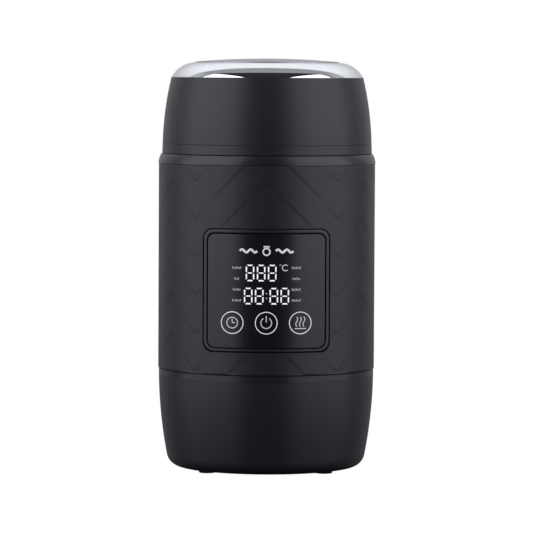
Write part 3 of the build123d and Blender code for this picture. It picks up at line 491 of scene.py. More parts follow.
# ------------------------------------------------------------------ stage
def soft_box(name, bearing, distance, size, brightness, tint):
    """Upright area light that faces the barrel's axis. The bearing is in degrees from the front,
    to the right; a light of a given brightness needs watts of brightness times its area times
    pi."""
    data = bpy.data.lights.new(name, "AREA")
    data.shape, data.size, data.size_y = "RECTANGLE", *size
    data.energy, data.color = brightness * math.pi * size[0] * size[1], tint
    light = bpy.data.objects.new(name, data)
    bpy.context.scene.collection.objects.link(light)
    turn = math.radians(bearing)
    above_table = 0.02
    light.location = (distance * math.sin(turn), -distance * math.cos(turn),
                      size[1] / 2 + above_table)
    aim = Vector((-light.location.x, -light.location.y, 0))
    light.rotation_mode = "QUATERNION"
    light.rotation_quaternion = aim.to_track_quat("-Z", "Y")


class MakeStage(bpy.types.Operator):
    """Camera, white table and backdrop, and the soft lights round them"""
    bl_idname = "yogurt.make_stage"
    bl_label = "Stage"

    def execute(self, context):
        studio = context.scene.studio
        camera = bpy.data.objects.new("camera", bpy.data.cameras.new("camera"))
        camera.data.lens = studio.lens
        camera.data.clip_end = 50
        camera.location = (0, -studio.eye, studio.eye_up)
        camera.rotation_euler = (math.pi / 2 - studio.pitch, 0, 0)
        camera.rotation_euler.rotate_axis("Z", studio.roll)
        context.scene.collection.objects.link(camera)
        context.scene.camera = camera
        context.scene.view_settings.view_transform = "Standard"
        self.table()
        self.room(context, studio)
        away, size = 1.15, (1.6, 2.0)
        for name, bearing, tint in (("left_soft_box", -64, (0.91, 0.92, 1.0)),
                                    ("right_soft_box", 63, (0.89, 0.915, 1.0))):
            soft_box(name, bearing, away, size, studio.side_light, tint)
        return {"FINISHED"}

    def table(self):
        """Pale round table top: white where it is looked at, dim in reflections."""
        size, under = 2.4, -0.004
        points, faces = lathe([(0, under), (size, under), (size, 0), (0, 0)], 96)
        mesh = bpy.data.meshes.new("table")
        mesh.from_pydata(points.tolist(), [], faces)
        table = bpy.data.objects.new("table", mesh)
        bpy.context.scene.collection.objects.link(table)
        material = bpy.data.materials.new("table_white")
        material.use_nodes = True
        nodes, links = material.node_tree.nodes, material.node_tree.links
        nodes.clear()
        path = nodes.new("ShaderNodeLightPath")
        glow = nodes.new("ShaderNodeEmission")
        glow.inputs["Strength"].default_value = 1.0
        dull = nodes.new("ShaderNodeBsdfPrincipled")
        dull.inputs["Base Color"].default_value = (0.06, 0.06, 0.062, 1)
        dull.inputs["Roughness"].default_value = 0.22
        mix = nodes.new("ShaderNodeMixShader")
        out = nodes.new("ShaderNodeOutputMaterial")
        links.new(path.outputs["Is Camera Ray"], mix.inputs["Fac"])
        links.new(dull.outputs[0], mix.inputs[1])
        links.new(glow.outputs[0], mix.inputs[2])
        links.new(mix.outputs[0], out.inputs["Surface"])
        mesh.materials.append(material)

    def room(self, context, studio):
        """White to the eye. In reflections, by the direction (x, y, z), where y points back: a
        dark front, grey sides that come up between y = 0.05 and 0.3, a ceiling where z + 0.6 y
        passes 0.87 to 0.91, and over all of them a backdrop where y + 0.35 z passes 0.60 to
        0.69, which grows brighter between z = 0.15 and 0.75."""
        world = bpy.data.worlds.new("studio")
        context.scene.world = world
        world.use_nodes = True
        nodes, links = world.node_tree.nodes, world.node_tree.links
        nodes.clear()

        def math_node(kind, first, second):
            """A sum, difference or product of two numbers or outputs."""
            node = nodes.new("ShaderNodeMath")
            node.operation = kind
            for socket, value in zip(node.inputs, (first, second)):
                if isinstance(value, (int, float)):
                    socket.default_value = value
                else:
                    links.new(value, socket)
            return node.outputs[0]

        def rise(value, start, end, high):
            """From 0 up to high in a smooth step, as the value goes from start to end."""
            node = nodes.new("ShaderNodeMapRange")
            node.interpolation_type = "SMOOTHSTEP"
            links.new(value, node.inputs["Value"])
            node.inputs["From Min"].default_value = start
            node.inputs["From Max"].default_value = end
            node.inputs["To Max"].default_value = high
            return node.outputs["Result"]

        def toward(first, second, share):
            """The first level where the share is 0, the second where it is 1."""
            away = math_node("MULTIPLY", first, math_node("SUBTRACT", 1.0, share))
            return math_node("ADD", away, math_node("MULTIPLY", second, share))

        way = nodes.new("ShaderNodeSeparateXYZ")
        links.new(nodes.new("ShaderNodeTexCoord").outputs["Generated"], way.inputs[0])
        back, up = way.outputs["Y"], way.outputs["Z"]
        front, flank_low, flank_gain = 0.03, 0.36, 0.16
        flank = math_node("ADD", flank_low, rise(up, 0.15, 0.60, flank_gain))
        sides = toward(front, flank, rise(back, 0.05, 0.30, 1.0))
        above = rise(math_node("ADD", up, math_node("MULTIPLY", back, 0.6)), 0.87, 0.91, 1.0)
        level = toward(sides, studio.ceiling, above)
        behind = rise(math_node("ADD", back, math_node("MULTIPLY", up, 0.35)), 0.60, 0.69, 1.0)
        backdrop = math_node("ADD", rise(up, 0.15, 0.75, studio.backdrop - studio.low), studio.low)
        level = toward(level, backdrop, behind)
        path = nodes.new("ShaderNodeLightPath")
        white = nodes.new("ShaderNodeBackground")
        white.inputs["Strength"].default_value = 1.0
        white.inputs["Color"].default_value = (1, 1, 1, 1)
        seen = nodes.new("ShaderNodeBackground")
        seen.inputs["Color"].default_value = (0.96, 0.97, 1.0, 1)
        links.new(level, seen.inputs["Strength"])
        mix = nodes.new("ShaderNodeMixShader")
        out = nodes.new("ShaderNodeOutputWorld")
        links.new(path.outputs["Is Camera Ray"], mix.inputs["Fac"])
        links.new(seen.outputs[0], mix.inputs[1])
        links.new(white.outputs[0], mix.inputs[2])
        links.new(mix.outputs[0], out.inputs["Surface"])


# ------------------------------------------------------------------ values that pieces share
BODY_R = (CAD_HIGH.x - CAD_LOW.x) / 2
WINDOW_R = BODY_R - 0.35 * MM
POT_R = radius_of("inner_pot")
NECK_TOP = head_of("collar_ring")
SPIGOT_WALL = 2.3 * MM
FINE_EDGE = 0.1 * MM
SHEET_EDGE = 0.15 * MM
POT_WALL = 0.8 * MM
FLOOR_CORNER = 8 * MM

# The twist lock: three lugs in the lid go under three on the neck, each beside a stop.
THIRDS = (0, 120, 240)
LUG_DEG = 36
NECK_LUG_DEG = -90
LID_LUG_DEG = -42
STOP_DEG = -102.2
LOCK = {
    "skirt_bore": POT_R + 4.1 * MM,
    "neck_in": POT_R + 0.4 * MM,
    "neck_r": POT_R + 1.6 * MM,
    "neck_lug_r": POT_R + 3.6 * MM,
    "neck_lug_low": NECK_TOP - 3.4 * MM,
    "neck_lug_high": NECK_TOP - 1.0 * MM,
    "lid_lug_in": POT_R + 2.1 * MM,
    "lid_lug_low": NECK_TOP - 6.6 * MM,
    "lid_lug_high": NECK_TOP - 3.8 * MM,
}


# ------------------------------------------------------------------ turned shells
def trim_profile():
    """Bright ring: a pressed sheet. Its outside is the arc through foot, shoulder and rim, its
    inside the arc through the same three places a sheet further in."""
    low, high = foot_of("lid_trim_ring"), head_of("lid_trim_ring")
    outer, rim = radius_of("lid_trim_ring"), radius_of("lid_top_plate") + 0.6 * MM
    shoulder = np.array([outer - 4.7 * MM, low + 5.5 * MM])
    sheet, foot_sheet, lip_deep = 1.2 * MM, 1.6 * MM, 0.9 * MM
    outside = arc((outer, low), shoulder, (rim, high), 28)
    lip = np.array([(rim - 0.35 * MM, high - 0.12 * MM), (rim - 0.4 * MM, high - lip_deep)])
    inside = arc((rim - 0.6 * MM, high - lip_deep), shoulder - sheet, (outer - foot_sheet, low), 16)
    return np.concatenate([outside, lip, inside])


def top_profile():
    """Domed plate: a shallow sphere with a rounded edge, closed by a flat underside."""
    edge, low, high = radius_of("lid_top_plate"), foot_of("lid_top_plate"), head_of("lid_top_plate")
    proud, rounding = 0.45 * MM, 0.25 * MM
    side = head_of("lid_trim_ring") + proud
    rise = high - side
    ball = (edge ** 2 + rise ** 2) / (2 * rise)
    radius = edge * np.linspace(1, 0, 26)[1:]
    dome = np.stack([radius, high - ball + np.sqrt(ball ** 2 - radius ** 2)], axis=1)
    rim = corner_arc((edge - rounding, side - rounding), rounding, 0, 80)
    under = np.array([(0, low), (edge, low)])
    return np.concatenate([under, rim, dome[1:]])


def cover_profile(wall):
    """Lid cover: a barrel-shaped wall with a flange under the bright ring."""
    low, high = foot_of("lid_cover"), head_of("lid_cover")
    foot_r, head_r = radius_of("lid_cover"), radius_of("lid_trim_ring")
    waist, flange_wide, flange_thick = 1.5 * MM, 14 * MM, 2 * MM
    step_wide, step_high = 1.45 * MM, 3.1 * MM
    middle = np.array([foot_r - waist, (low + high) / 2])
    outside = arc((foot_r, low), middle, (head_r, high), 34)
    inside = arc((head_r - wall, high - flange_thick), middle - (wall, 0),
                 (foot_r - wall, low + step_high), 20)
    hole = head_r - flange_wide
    flange = np.array([(hole, high), (hole, high - flange_thick)])
    step = np.array([(foot_r - step_wide, low + step_high), (foot_r - step_wide, low)])
    return np.concatenate([outside, flange, inside, step])


class MakeLid(bpy.types.Operator):
    """Lid: cover, skirt ring with its lock lugs, bright ring and domed top plate"""
    bl_idname = "yogurt.make_lid"
    bl_label = "Lid"

    def execute(self, context):
        barrel = context.scene.barrel_sizes
        cover = lathe(cover_profile(barrel.lid_wall), barrel.turns)
        soften(solid("lid_cover_shell", *cover, "lid", finish("satin"), ("lid_cover",),
                     "matte_black"), barrel.edge)
        ring = lathe(trim_profile(), barrel.turns)
        soften(solid("lid_bright_ring", *ring, "lid", finish("bright"), ("lid_trim_ring",),
                     "trim_chrome"), FINE_EDGE, 2)
        plate = lathe(top_profile(), barrel.turns)
        solid("lid_domed_plate", *plate, "lid", finish("top"), ("lid_top_plate",), "top_steel")
        self.skirt(barrel)
        return {"FINISHED"}

    def skirt(self, barrel):
        """Skirt ring with a tongue into the cover and three lock lugs inside."""
        low, top = foot_of("lid_skirt_ring"), foot_of("lid_cover")
        tongue = head_of("lid_skirt_ring")
        outer, cover = radius_of("lid_skirt_ring"), radius_of("lid_cover")
        inner = LOCK["skirt_bore"]
        tongue_out, rooted = inner + 0.9 * MM, 0.5 * MM
        profile = [(inner, low), (outer, low), (cover, top), (tongue_out, top),
                   (tongue_out, tongue), (inner, tongue)]
        lugs = [sector(LOCK["lid_lug_in"], inner + rooted, LOCK["lid_lug_low"],
                       LOCK["lid_lug_high"], LID_LUG_DEG + third, LUG_DEG) for third in THIRDS]
        soften(solid("lid_skirt", *together(lathe(profile, barrel.turns), *lugs), "lid",
                     finish("satin"), ("lid_skirt_ring",), "matte_black"), barrel.edge)


class MakeCollar(bpy.types.Operator):
    """Gloss collar with the neck, its lock lugs and stops, and the lower gloss ring"""
    bl_idname = "yogurt.make_collar"
    bl_label = "Collar and lower ring"

    def execute(self, context):
        barrel = context.scene.barrel_sizes
        sleeve_top, rim = head_of("outer_sleeve"), NECK_TOP - 8.9 * MM
        bore, seat = POT_R - 5.1 * MM, NECK_TOP - 3.3 * MM
        sleeve_in, clear = BODY_R - 0.1 * MM - barrel.wall, 0.3 * MM
        spigot, spigot_foot = sleeve_in - clear, sleeve_top - 5 * MM
        neck_in, neck_out, rooted = LOCK["neck_in"], LOCK["neck_r"], 0.2 * MM
        outside = arc((BODY_R, sleeve_top), (BODY_R - 0.45 * MM, (sleeve_top + rim) / 2),
                      (BODY_R - 1.7 * MM, rim), 14)
        inside = [(neck_out, rim), (neck_out, NECK_TOP), (neck_in, NECK_TOP), (neck_in, seat),
                  (bore, seat), (bore, sleeve_top), (spigot - SPIGOT_WALL, sleeve_top),
                  (spigot - SPIGOT_WALL, spigot_foot), (spigot, spigot_foot), (spigot, sleeve_top)]
        ring = lathe(np.concatenate([outside, inside]), barrel.turns)
        lug_in, lug_out, lug_top = neck_in + rooted, LOCK["neck_lug_r"], LOCK["neck_lug_high"]
        lugs = [sector(lug_in, lug_out, LOCK["neck_lug_low"], lug_top, NECK_LUG_DEG + third,
                       LUG_DEG) for third in THIRDS]
        stops = [sector(lug_in, lug_out, rim - rooted, lug_top, STOP_DEG + third, 3, 4)
                 for third in THIRDS]
        soften(solid("gloss_collar", *together(ring, *lugs, *stops), "housing", finish("gloss"),
                     ("collar_ring",), "gloss_black"), barrel.edge)
        self.lower(barrel)
        return {"FINISHED"}

    def lower(self, barrel):
        """Lower ring: a plain gloss band with spigots up and down."""
        low, high = head_of("base_housing"), foot_of("outer_sleeve")
        foot, head = foot_of("lower_ring"), head_of("lower_ring")
        outer, up, down = radius_of("lower_ring"), BODY_R - 2.8 * MM, BODY_R - 3.6 * MM
        up_in, down_in, slope = up - SPIGOT_WALL, down - SPIGOT_WALL, 4 * MM
        profile = [(outer, low), (outer, high), (up, high), (up, head), (up_in, head),
                   (up_in, low), (down_in, low - slope), (down_in, foot), (down, foot),
                   (down, low)]
        soften(solid("gloss_lower_ring", *lathe(profile, barrel.turns), "housing",
                     finish("gloss"), ("lower_ring",), "gloss_black"), barrel.edge)


def base_points(inset):
    """Three points on the side of the base: at its foot, half-way and at its top."""
    low, high = foot_of("base_housing"), head_of("base_housing")
    foot_in, half_in = 7.05 * MM, 2.45 * MM
    radii = (BODY_R - foot_in, BODY_R - half_in, radius_of("base_housing"))
    return [(r - inset, z) for r, z in zip(radii, (low, (low + high) / 2, high))]


def rounded_side(inset, size, steps):
    """Outline from the flat underside, round a corner of a given size, up the bulged side. The
    corner's centre lies a size above the underside and a size inside the side's circle."""
    points = base_points(inset)
    middle, big = circle_through(*points)
    up = foot_of("base_housing") + size + inset
    out = middle[0] + math.sqrt((big - size) ** 2 - (up - middle[1]) ** 2)
    meet = math.degrees(math.atan2(up - middle[1], out - middle[0]))
    corner = corner_arc((out, up), size, -90, meet, 14)
    top = math.degrees(math.atan2(points[2][1] - middle[1], points[2][0] - middle[0]))
    return np.concatenate([corner, corner_arc(middle, big, meet, top, steps)[1:]])


def base_profile(wall):
    """Base housing: a rounded bottom corner, a bulged wall and a ledge for the base plate."""
    low, corner = foot_of("base_housing"), 8.6 * MM
    floor, recess = low + 5 * MM, low + 2.6 * MM
    clear, ledge_wide, first_gap = 0.25 * MM, 7.2 * MM, 0.5 * MM
    plate = radius_of("base_plate") + clear
    ledge = plate - ledge_wide
    outside = rounded_side(0, corner, 40)
    inside = rounded_side(wall, corner - wall, 24)[::-1]
    inside = inside[inside[:, 1] > floor + first_gap]
    hole = [(ledge, floor), (ledge, recess), (plate, recess), (plate, low)]
    return np.concatenate([outside, inside, [(inside[-1, 0], floor)], hole])


class MakeBase(bpy.types.Operator):
    """Base housing with the inlet's opening, and the four feet"""
    bl_idname = "yogurt.make_base"
    bl_label = "Base and feet"

    def execute(self, context):
        barrel = context.scene.barrel_sizes
        base = solid("base_shell", *lathe(base_profile(barrel.wall), barrel.turns), "housing",
                     finish("satin"), ("base_housing",), "matte_black")
        low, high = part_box("power_inlet")
        flange_side, flange_top, reach = 3.8 * MM, 3.3 * MM, 12 * MM
        half_w, half_h = (high.x - low.x) / 2 - flange_side, (high.z - low.z) / 2 - flange_top
        middle = (low.z + high.z) / 2
        cut(base, *box_shape((-half_w, high.y - reach, middle - half_h),
                             (half_w, high.y + reach, middle + half_h)))
        soften(base, barrel.edge)
        self.feet()
        return {"FINISHED"}

    def feet(self):
        """Four turned rubber feet with rounded lower edges and a shallow cup beneath."""
        low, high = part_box("feet")
        size, rounding = 5 * MM, 0.7 * MM
        cup_deep, cup_r, cup_edge = 0.35 * MM, 2.6 * MM, 3.0 * MM
        x, y = high.x - size, high.y - size
        cup = [(0, low.z + cup_deep), (cup_r, low.z + cup_deep), (cup_edge, low.z)]
        side = corner_arc((size - rounding, low.z + rounding), rounding, -90, 0)
        points, faces = lathe(np.concatenate([cup, side, [(size, high.z), (0, high.z)]]), 48)
        shells = [(points + [sx * x, sy * y, 0], faces) for sx in (-1, 1) for sy in (-1, 1)]
        soften(solid("rubber_feet", *together(*shells), "housing", finish("foot"), ("feet",),
                     "foot_rubber"), FINE_EDGE, 2)


def box_shape(low, high):
    """A block between two corners."""
    corner = np.array([(x, y, z) for x in (0, 1) for y in (0, 1) for z in (0, 1)])
    points = np.array(low) + corner * (np.array(high) - np.array(low))
    faces = [[0, 1, 3, 2], [4, 6, 7, 5], [0, 4, 5, 1], [2, 3, 7, 6], [0, 2, 6, 4], [1, 5, 7, 3]]
    return points, faces


# ------------------------------------------------------------------ patterned sleeve
def facet_height(column, row):
    """Height 0 to 1 of the sleeve's relief at a place counted in half facets. Diamond facets
    are centred where column and row are whole and add up to an even number. Each is a flat
    that stands out most at one corner: the left one in columns 1, 2, 3 and 7 of every 12, the
    right one in 5, 9, 10 and 11, and the lower one in 0, 4, 6 and 8. The height is 0.5 plus half
    the way from the centre towards that corner, of which the lower one takes 0.75 in columns 0
    and 6 and 0.5 in 4 and 8."""
    near_column, near_row = np.round(column), np.round(row)
    odd = (near_column + near_row) % 2 == 1
    along, down = column - near_column, row - near_row
    sideways = np.abs(along) > np.abs(down)
    near_column = np.where(odd & sideways, near_column + np.sign(along), near_column)
    near_row = np.where(odd & ~sideways, near_row + np.where(down >= 0, 1, -1), near_row)
    along, down = column - near_column, row - near_row
    kind = np.mod(near_column, 12).astype(int)
    to_left = np.isin(kind, (1, 2, 3, 7))
    to_right = np.isin(kind, (5, 9, 10, 11))
    gentle = np.where(np.isin(kind, (4, 8)), 0.5, 0.75)
    lean = np.where(to_left, -along, np.where(to_right, along, gentle * down))
    return 0.5 + 0.5 * lean


def crisp(column, row, reach):
    """Facet height averaged over the four corners of a small square, so that a step between two
    facets stays one grid cell wide."""
    corners = [(dx, dy) for dx in (-reach, reach) for dy in (-reach, reach)]
    return sum(facet_height(column + dx, row + dy) for dx, dy in corners) / len(corners)


class MakeSleeve(bpy.types.Operator):
    """Outer sleeve: a tube whose outside carries the low diamond relief, on a grid with a number
    of fine steps to each half facet"""
    bl_idname = "yogurt.make_sleeve"
    bl_label = "Patterned sleeve"
    fine = 15

    def execute(self, context):
        barrel, panel = context.scene.barrel_sizes, context.scene.panel_sizes
        low, high = foot_of("outer_sleeve"), head_of("outer_sleeve")
        columns = 2 * barrel.facets * self.fine
        step = barrel.facet_high / self.fine
        edge, top_gap = 1.0 * MM, 0.05 * MM
        rows = int((high - low - edge) / step) + 1
        z = high - top_gap - np.linspace(0, high - low - edge, rows)
        angle = np.arange(columns) * 2 * math.pi / columns
        column = np.arange(columns) / self.fine
        row = 1 + (high - barrel.facet_top - z) / barrel.facet_high
        grid = crisp(*np.meshgrid(column, row), 0.4 / self.fine)
        top_r = radius_of("outer_sleeve")
        radius = top_r - barrel.relief * (1 - grid)
        turn = corner_arc((top_r - barrel.relief / 2 - edge, low + edge), edge, 0, -90)[1:]
        inner = top_r - barrel.wall
        under = np.array([*turn, (inner, low), (inner, (low + high) / 2), (inner, high)])
        radius = np.concatenate([radius, np.broadcast_to(under[:, :1], (len(under), columns))])
        height = np.concatenate([z, under[:, 1]])
        x, y = radius * np.sin(angle), -radius * np.cos(angle)
        points = np.stack([x, y, np.broadcast_to(height[:, None], x.shape)], axis=-1)
        faces = grid_faces(len(height), columns, True, True)
        sleeve = solid("patterned_sleeve", points.reshape(-1, 3), faces, "housing",
                       finish("sleeve"), ("outer_sleeve",), "sleeve_black")
        cut(sleeve, *panel_cutter(panel))
        return {"FINISHED"}


# ------------------------------------------------------------------ control panel
def rounded_outline(left, right, low, high, corner, steps=10):
    """Rounded rectangle in the (x, z) plane, counter-clockwise seen from the front."""
    centres = [(right - corner, low + corner, -90), (right - corner, high - corner, 0),
               (left + corner, high - corner, 90), (left + corner, low + corner, 180)]
    corners = [corner_arc((x, z), corner, start, start + 90, steps) for x, z, start in centres]
    return np.concatenate(corners)


def divided(outline, most):
    """An outline with its long straight runs divided into equal parts."""
    after = np.roll(outline, -1, axis=0)
    runs = np.linalg.norm(after - outline, axis=1)
    parts = []
    for start, end, run in zip(outline, after, runs):
        count = max(1, int(math.ceil(run / most)))
        parts.append(start + (end - start) * np.arange(count)[:, None] / count)
    return np.concatenate(parts)


def matched(outer, inner):
    """For each outer point, the inner point at the same share of the way round."""
    def share_round(path):
        """Length run so far at each point, as a share of the whole way round."""
        run = np.linalg.norm(np.roll(path, -1, axis=0) - path, axis=1)
        return np.concatenate([[0], np.cumsum(run)]) / run.sum()

    ring = np.concatenate([inner, inner[:1]])
    wanted, have = share_round(outer)[:-1], share_round(inner)
    return np.stack([np.interp(wanted, have, ring[:, i]) for i in (0, 1)], axis=1)


def on_barrel(x, z, radius):
    """Carries (x, z) seen from the front onto the barrel's front at a radius."""
    return np.stack([x, -np.sqrt(radius ** 2 - x ** 2), z], axis=-1)


def window_edges():
    """Left, right, low and high edge of the window, seen from the front."""
    low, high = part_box("panel_window")
    return low.x, high.x, low.z, high.z


def bezel_outline(panel, grow=0.0):
    """Outer outline of the bezel's rim, made larger by grow."""
    left, right, low, high = window_edges()
    gap = panel.gap
    return rounded_outline(left - panel.side - gap - grow, right + panel.side + gap + grow,
                           low - panel.bottom - gap - grow, high + panel.top + gap + grow,
                           panel.corner + grow)


def panel_cutter(panel):
    """Upright prism through the sleeve's front, a groove larger than the bezel."""
    outline = divided(bezel_outline(panel, panel.gap), 2 * MM)
    count = len(outline)
    front, back = (np.stack([outline[:, 0], np.full(count, y), outline[:, 1]], axis=1)
                   for y in (-80 * MM, -35 * MM))
    faces = grid_faces(2, count, False, True).tolist()
    faces += [list(range(count)), list(range(2 * count - 1, count - 1, -1))]
    return np.concatenate([front, back]), faces


class MakePanel(bpy.types.Operator):
    """Bezel and smoked window of the control panel, both curved with the barrel"""
    bl_idname = "yogurt.make_panel"
    bl_label = "Panel bezel and window"

    def execute(self, context):
        panel = context.scene.panel_sizes
        self.bezel(panel)
        self.window(panel)
        return {"FINISHED"}

    def bezel(self, panel):
        """A section carried round the panel's outline: each section point is a share of the way
        from the outer to the inner outline, at a radius. A raised bead with rolled edges runs
        between two steps."""
        outer = divided(bezel_outline(panel), 2 * MM)
        left, right, low, high = window_edges()
        gap = panel.gap
        inner = rounded_outline(left - gap, right + gap, low - gap, high + gap,
                                panel.window_corner + gap)
        inner = matched(outer, divided(inner, 0.5 * MM))
        thick, roll = 2.6 * MM, 0.3 * MM
        face, back = BODY_R, BODY_R - thick
        floor = face - panel.groove_deep
        width = panel.side
        turn = np.radians(np.linspace(0, 90, 5))
        edge = panel.groove + roll * (1 - np.cos(turn))
        drop = roll * (1 - np.sin(turn))
        across = np.concatenate([[0, 0], [panel.groove], edge, (width - edge)[::-1],
                                 [width - panel.groove], [width, width]])
        radius = np.concatenate([[back, floor], [floor], face - drop, (face - drop)[::-1],
                                 [floor], [floor, back]])
        share = across / width
        flat = outer[None] * (1 - share[:, None, None]) + inner[None] * share[:, None, None]
        points = on_barrel(flat[..., 0], flat[..., 1], radius[:, None])
        faces = grid_faces(len(share), len(outer), True, True)
        solid("bezel_rim", points.reshape(-1, 3), faces, "housing", finish("bezel"),
              ("panel_bezel",), "gloss_black")

    def window(self, panel):
        """Rings of the window's outline shrunk towards its middle, at the window's radius, with
        a rolled edge and a back."""
        left, right, low, high = window_edges()
        outline = divided(rounded_outline(left, right, low, high, panel.window_corner), 1.5 * MM)
        middle = np.array([(left + right) / 2, (low + high) / 2])
        thick, inmost, flat_rings = 1.5 * MM, 0.04, 20
        shares = np.concatenate([[1.0, 1.0, 0.9990, 0.997, 0.994],
                                 np.linspace(0.97, inmost, flat_rings)])
        sunk = np.concatenate([[thick, 0.15 * MM, 0.05 * MM, 0.01 * MM, 0],
                               np.zeros(flat_rings)])
        front = middle + (outline - middle)[None] * shares[:, None, None]
        points = on_barrel(front[..., 0], front[..., 1], (WINDOW_R - sunk)[:, None]).reshape(-1, 3)
        back_shares = np.linspace(0.96, inmost, 8)
        back = middle + (outline - middle)[None] * back_shares[:, None, None]
        rear = on_barrel(back[..., 0], back[..., 1], WINDOW_R - thick).reshape(-1, 3)
        count, rows = len(outline), len(shares)
        faces = grid_faces(rows, count, False, True).tolist()
        faces.append(list(range((rows - 1) * count, rows * count)))
        start = len(points)
        wall = grid_faces(2, count, False, True)
        wall = np.where(wall < count, wall, wall - count + start)
        faces += wall[:, ::-1].tolist()
        faces += (grid_faces(len(back_shares), count, False, True)[:, ::-1] + start).tolist()
        last = start + (len(back_shares) - 1) * count
        faces.append(list(range(last + count - 1, last - 1, -1)))
        solid("smoked_window", np.concatenate([points, rear]), faces, "housing",
              finish("window"), ("panel_window",), "window_black")


# ------------------------------------------------------------------ printed signs
def band(left, right):
    """A stroke between two rails of points, which may run round the barrel."""
    return np.stack([np.asarray(left, dtype=float), np.asarray(right, dtype=float)], axis=1)


def stroke(a, b, width):
    """Straight stroke with square ends, divided about every millimetre so that it follows the
    barrel."""
    a, b = np.array(a, dtype=float), np.array(b, dtype=float)
    size = np.linalg.norm(b - a)
    way = (b - a) / size
    side = np.array([-way[1], way[0]]) * width / 2
    path = a + (b - a) * np.linspace(0, 1, max(2, int(size / MM) + 1))[:, None]
    return band(path - side, path + side)


def loop(centre, outer, width, start=0.0, end=360.0, steps=48):
    """Round stroke from one angle to another."""
    angle = np.radians(np.linspace(start, end, steps + 1))
    way = np.stack([np.cos(angle), np.sin(angle)], axis=1)
    return band(np.array(centre) + way * outer, np.array(centre) + way * (outer - width))


def wave(start, end, swing, width, turns=1.0, steps=18):
    """Wavy stroke: a sine across the line from start to end."""
    start, end = np.array(start, dtype=float), np.array(end, dtype=float)
    across = np.array([start[1] - end[1], end[0] - start[0]]) / np.linalg.norm(end - start)
    share = np.linspace(0, 1, steps)[:, None]
    path = start + (end - start) * share + across * swing * np.sin(2 * math.pi * turns * share)
    slope = np.gradient(path, axis=0)
    side = np.stack([-slope[:, 1], slope[:, 0]], axis=1)
    side *= width / 2 / np.linalg.norm(side, axis=1, keepdims=True)
    return band(path - side, path + side)


def dot(centre, radius):
    """Round dot: a round stroke nearly as wide as its radius, so that no two points meet."""
    return loop(centre, radius, radius * 0.98, steps=16)


def digit_parts(middle, low, panel):
    """The seven bars of a lit digit. Lengths are shares of the digit's width and height: the
    level bars taper inwards, the upright ones are cut aslant at their outer ends."""
    w, h, t = panel.digit_w, panel.digit_h, panel.digit_t
    left, right, high, half = middle - w / 2, middle + w / 2, low + h, low + h / 2
    outer_in, inner_in, end_in = 0.16 * w, 0.27 * w, 0.22 * w
    bars = []
    for edge, way in ((high, -1), (low, 1)):
        bars.append(band([(left + outer_in, edge), (left + inner_in, edge + way * t)],
                         [(right - outer_in, edge), (right - inner_in, edge + way * t)]))
    for way in (-1, 1):
        bars.append(band([(left + end_in, half), (left + inner_in, half + way * 0.42 * t)],
                         [(right - end_in, half), (right - inner_in, half + way * 0.42 * t)]))
    for edge, way in ((left, 1), (right, -1)):
        for end, up in ((high, -1), (low, 1)):
            bars.append(band([(edge, end + up * 0.105 * h), (edge, half - up * 0.045 * h)],
                             [(edge + way * t, end + up * 0.145 * h),
                              (edge + way * 0.95 * t, half - up * 0.062 * h)]))
    return bars


def print_signs(name, bands, material, panel):
    """Thin plates on the window: each band is a grid of two columns, as high as the ink in
    front of the window's radius and as deep behind it, closed all round."""
    shells = []
    for rails in bands:
        steps = len(rails)
        flat = rails.reshape(-1, 2)
        front = on_barrel(flat[:, 0], flat[:, 1], WINDOW_R + panel.ink)
        back = on_barrel(flat[:, 0], flat[:, 1], WINDOW_R - panel.ink)
        points = np.concatenate([front, back])
        k = 2 * np.arange(steps - 1)
        rear = 2 * steps
        sheet = np.stack([k, k + 1, k + 3, k + 2], axis=1)
        near = np.stack([k, k + 2, k + 2 + rear, k + rear], axis=1)
        far = np.stack([k + 1, k + 1 + rear, k + 3 + rear, k + 3], axis=1)
        last = rear - 2
        ends = [[0, rear, rear + 1, 1], [last, last + 1, last + 1 + rear, last + rear]]
        faces = np.concatenate([sheet, sheet[:, ::-1] + rear, near, far, ends])
        fan = points[faces]
        volume = np.einsum("ij,ij->i", fan[:, 0], np.cross(fan[:, 1], fan[:, 2]))
        volume += np.einsum("ij,ij->i", fan[:, 0], np.cross(fan[:, 2], fan[:, 3]))
        shells.append((points, (faces if volume.sum() > 0 else faces[:, ::-1]).tolist()))
    solid(name, *together(*shells), "housing", material, (), "window_black")


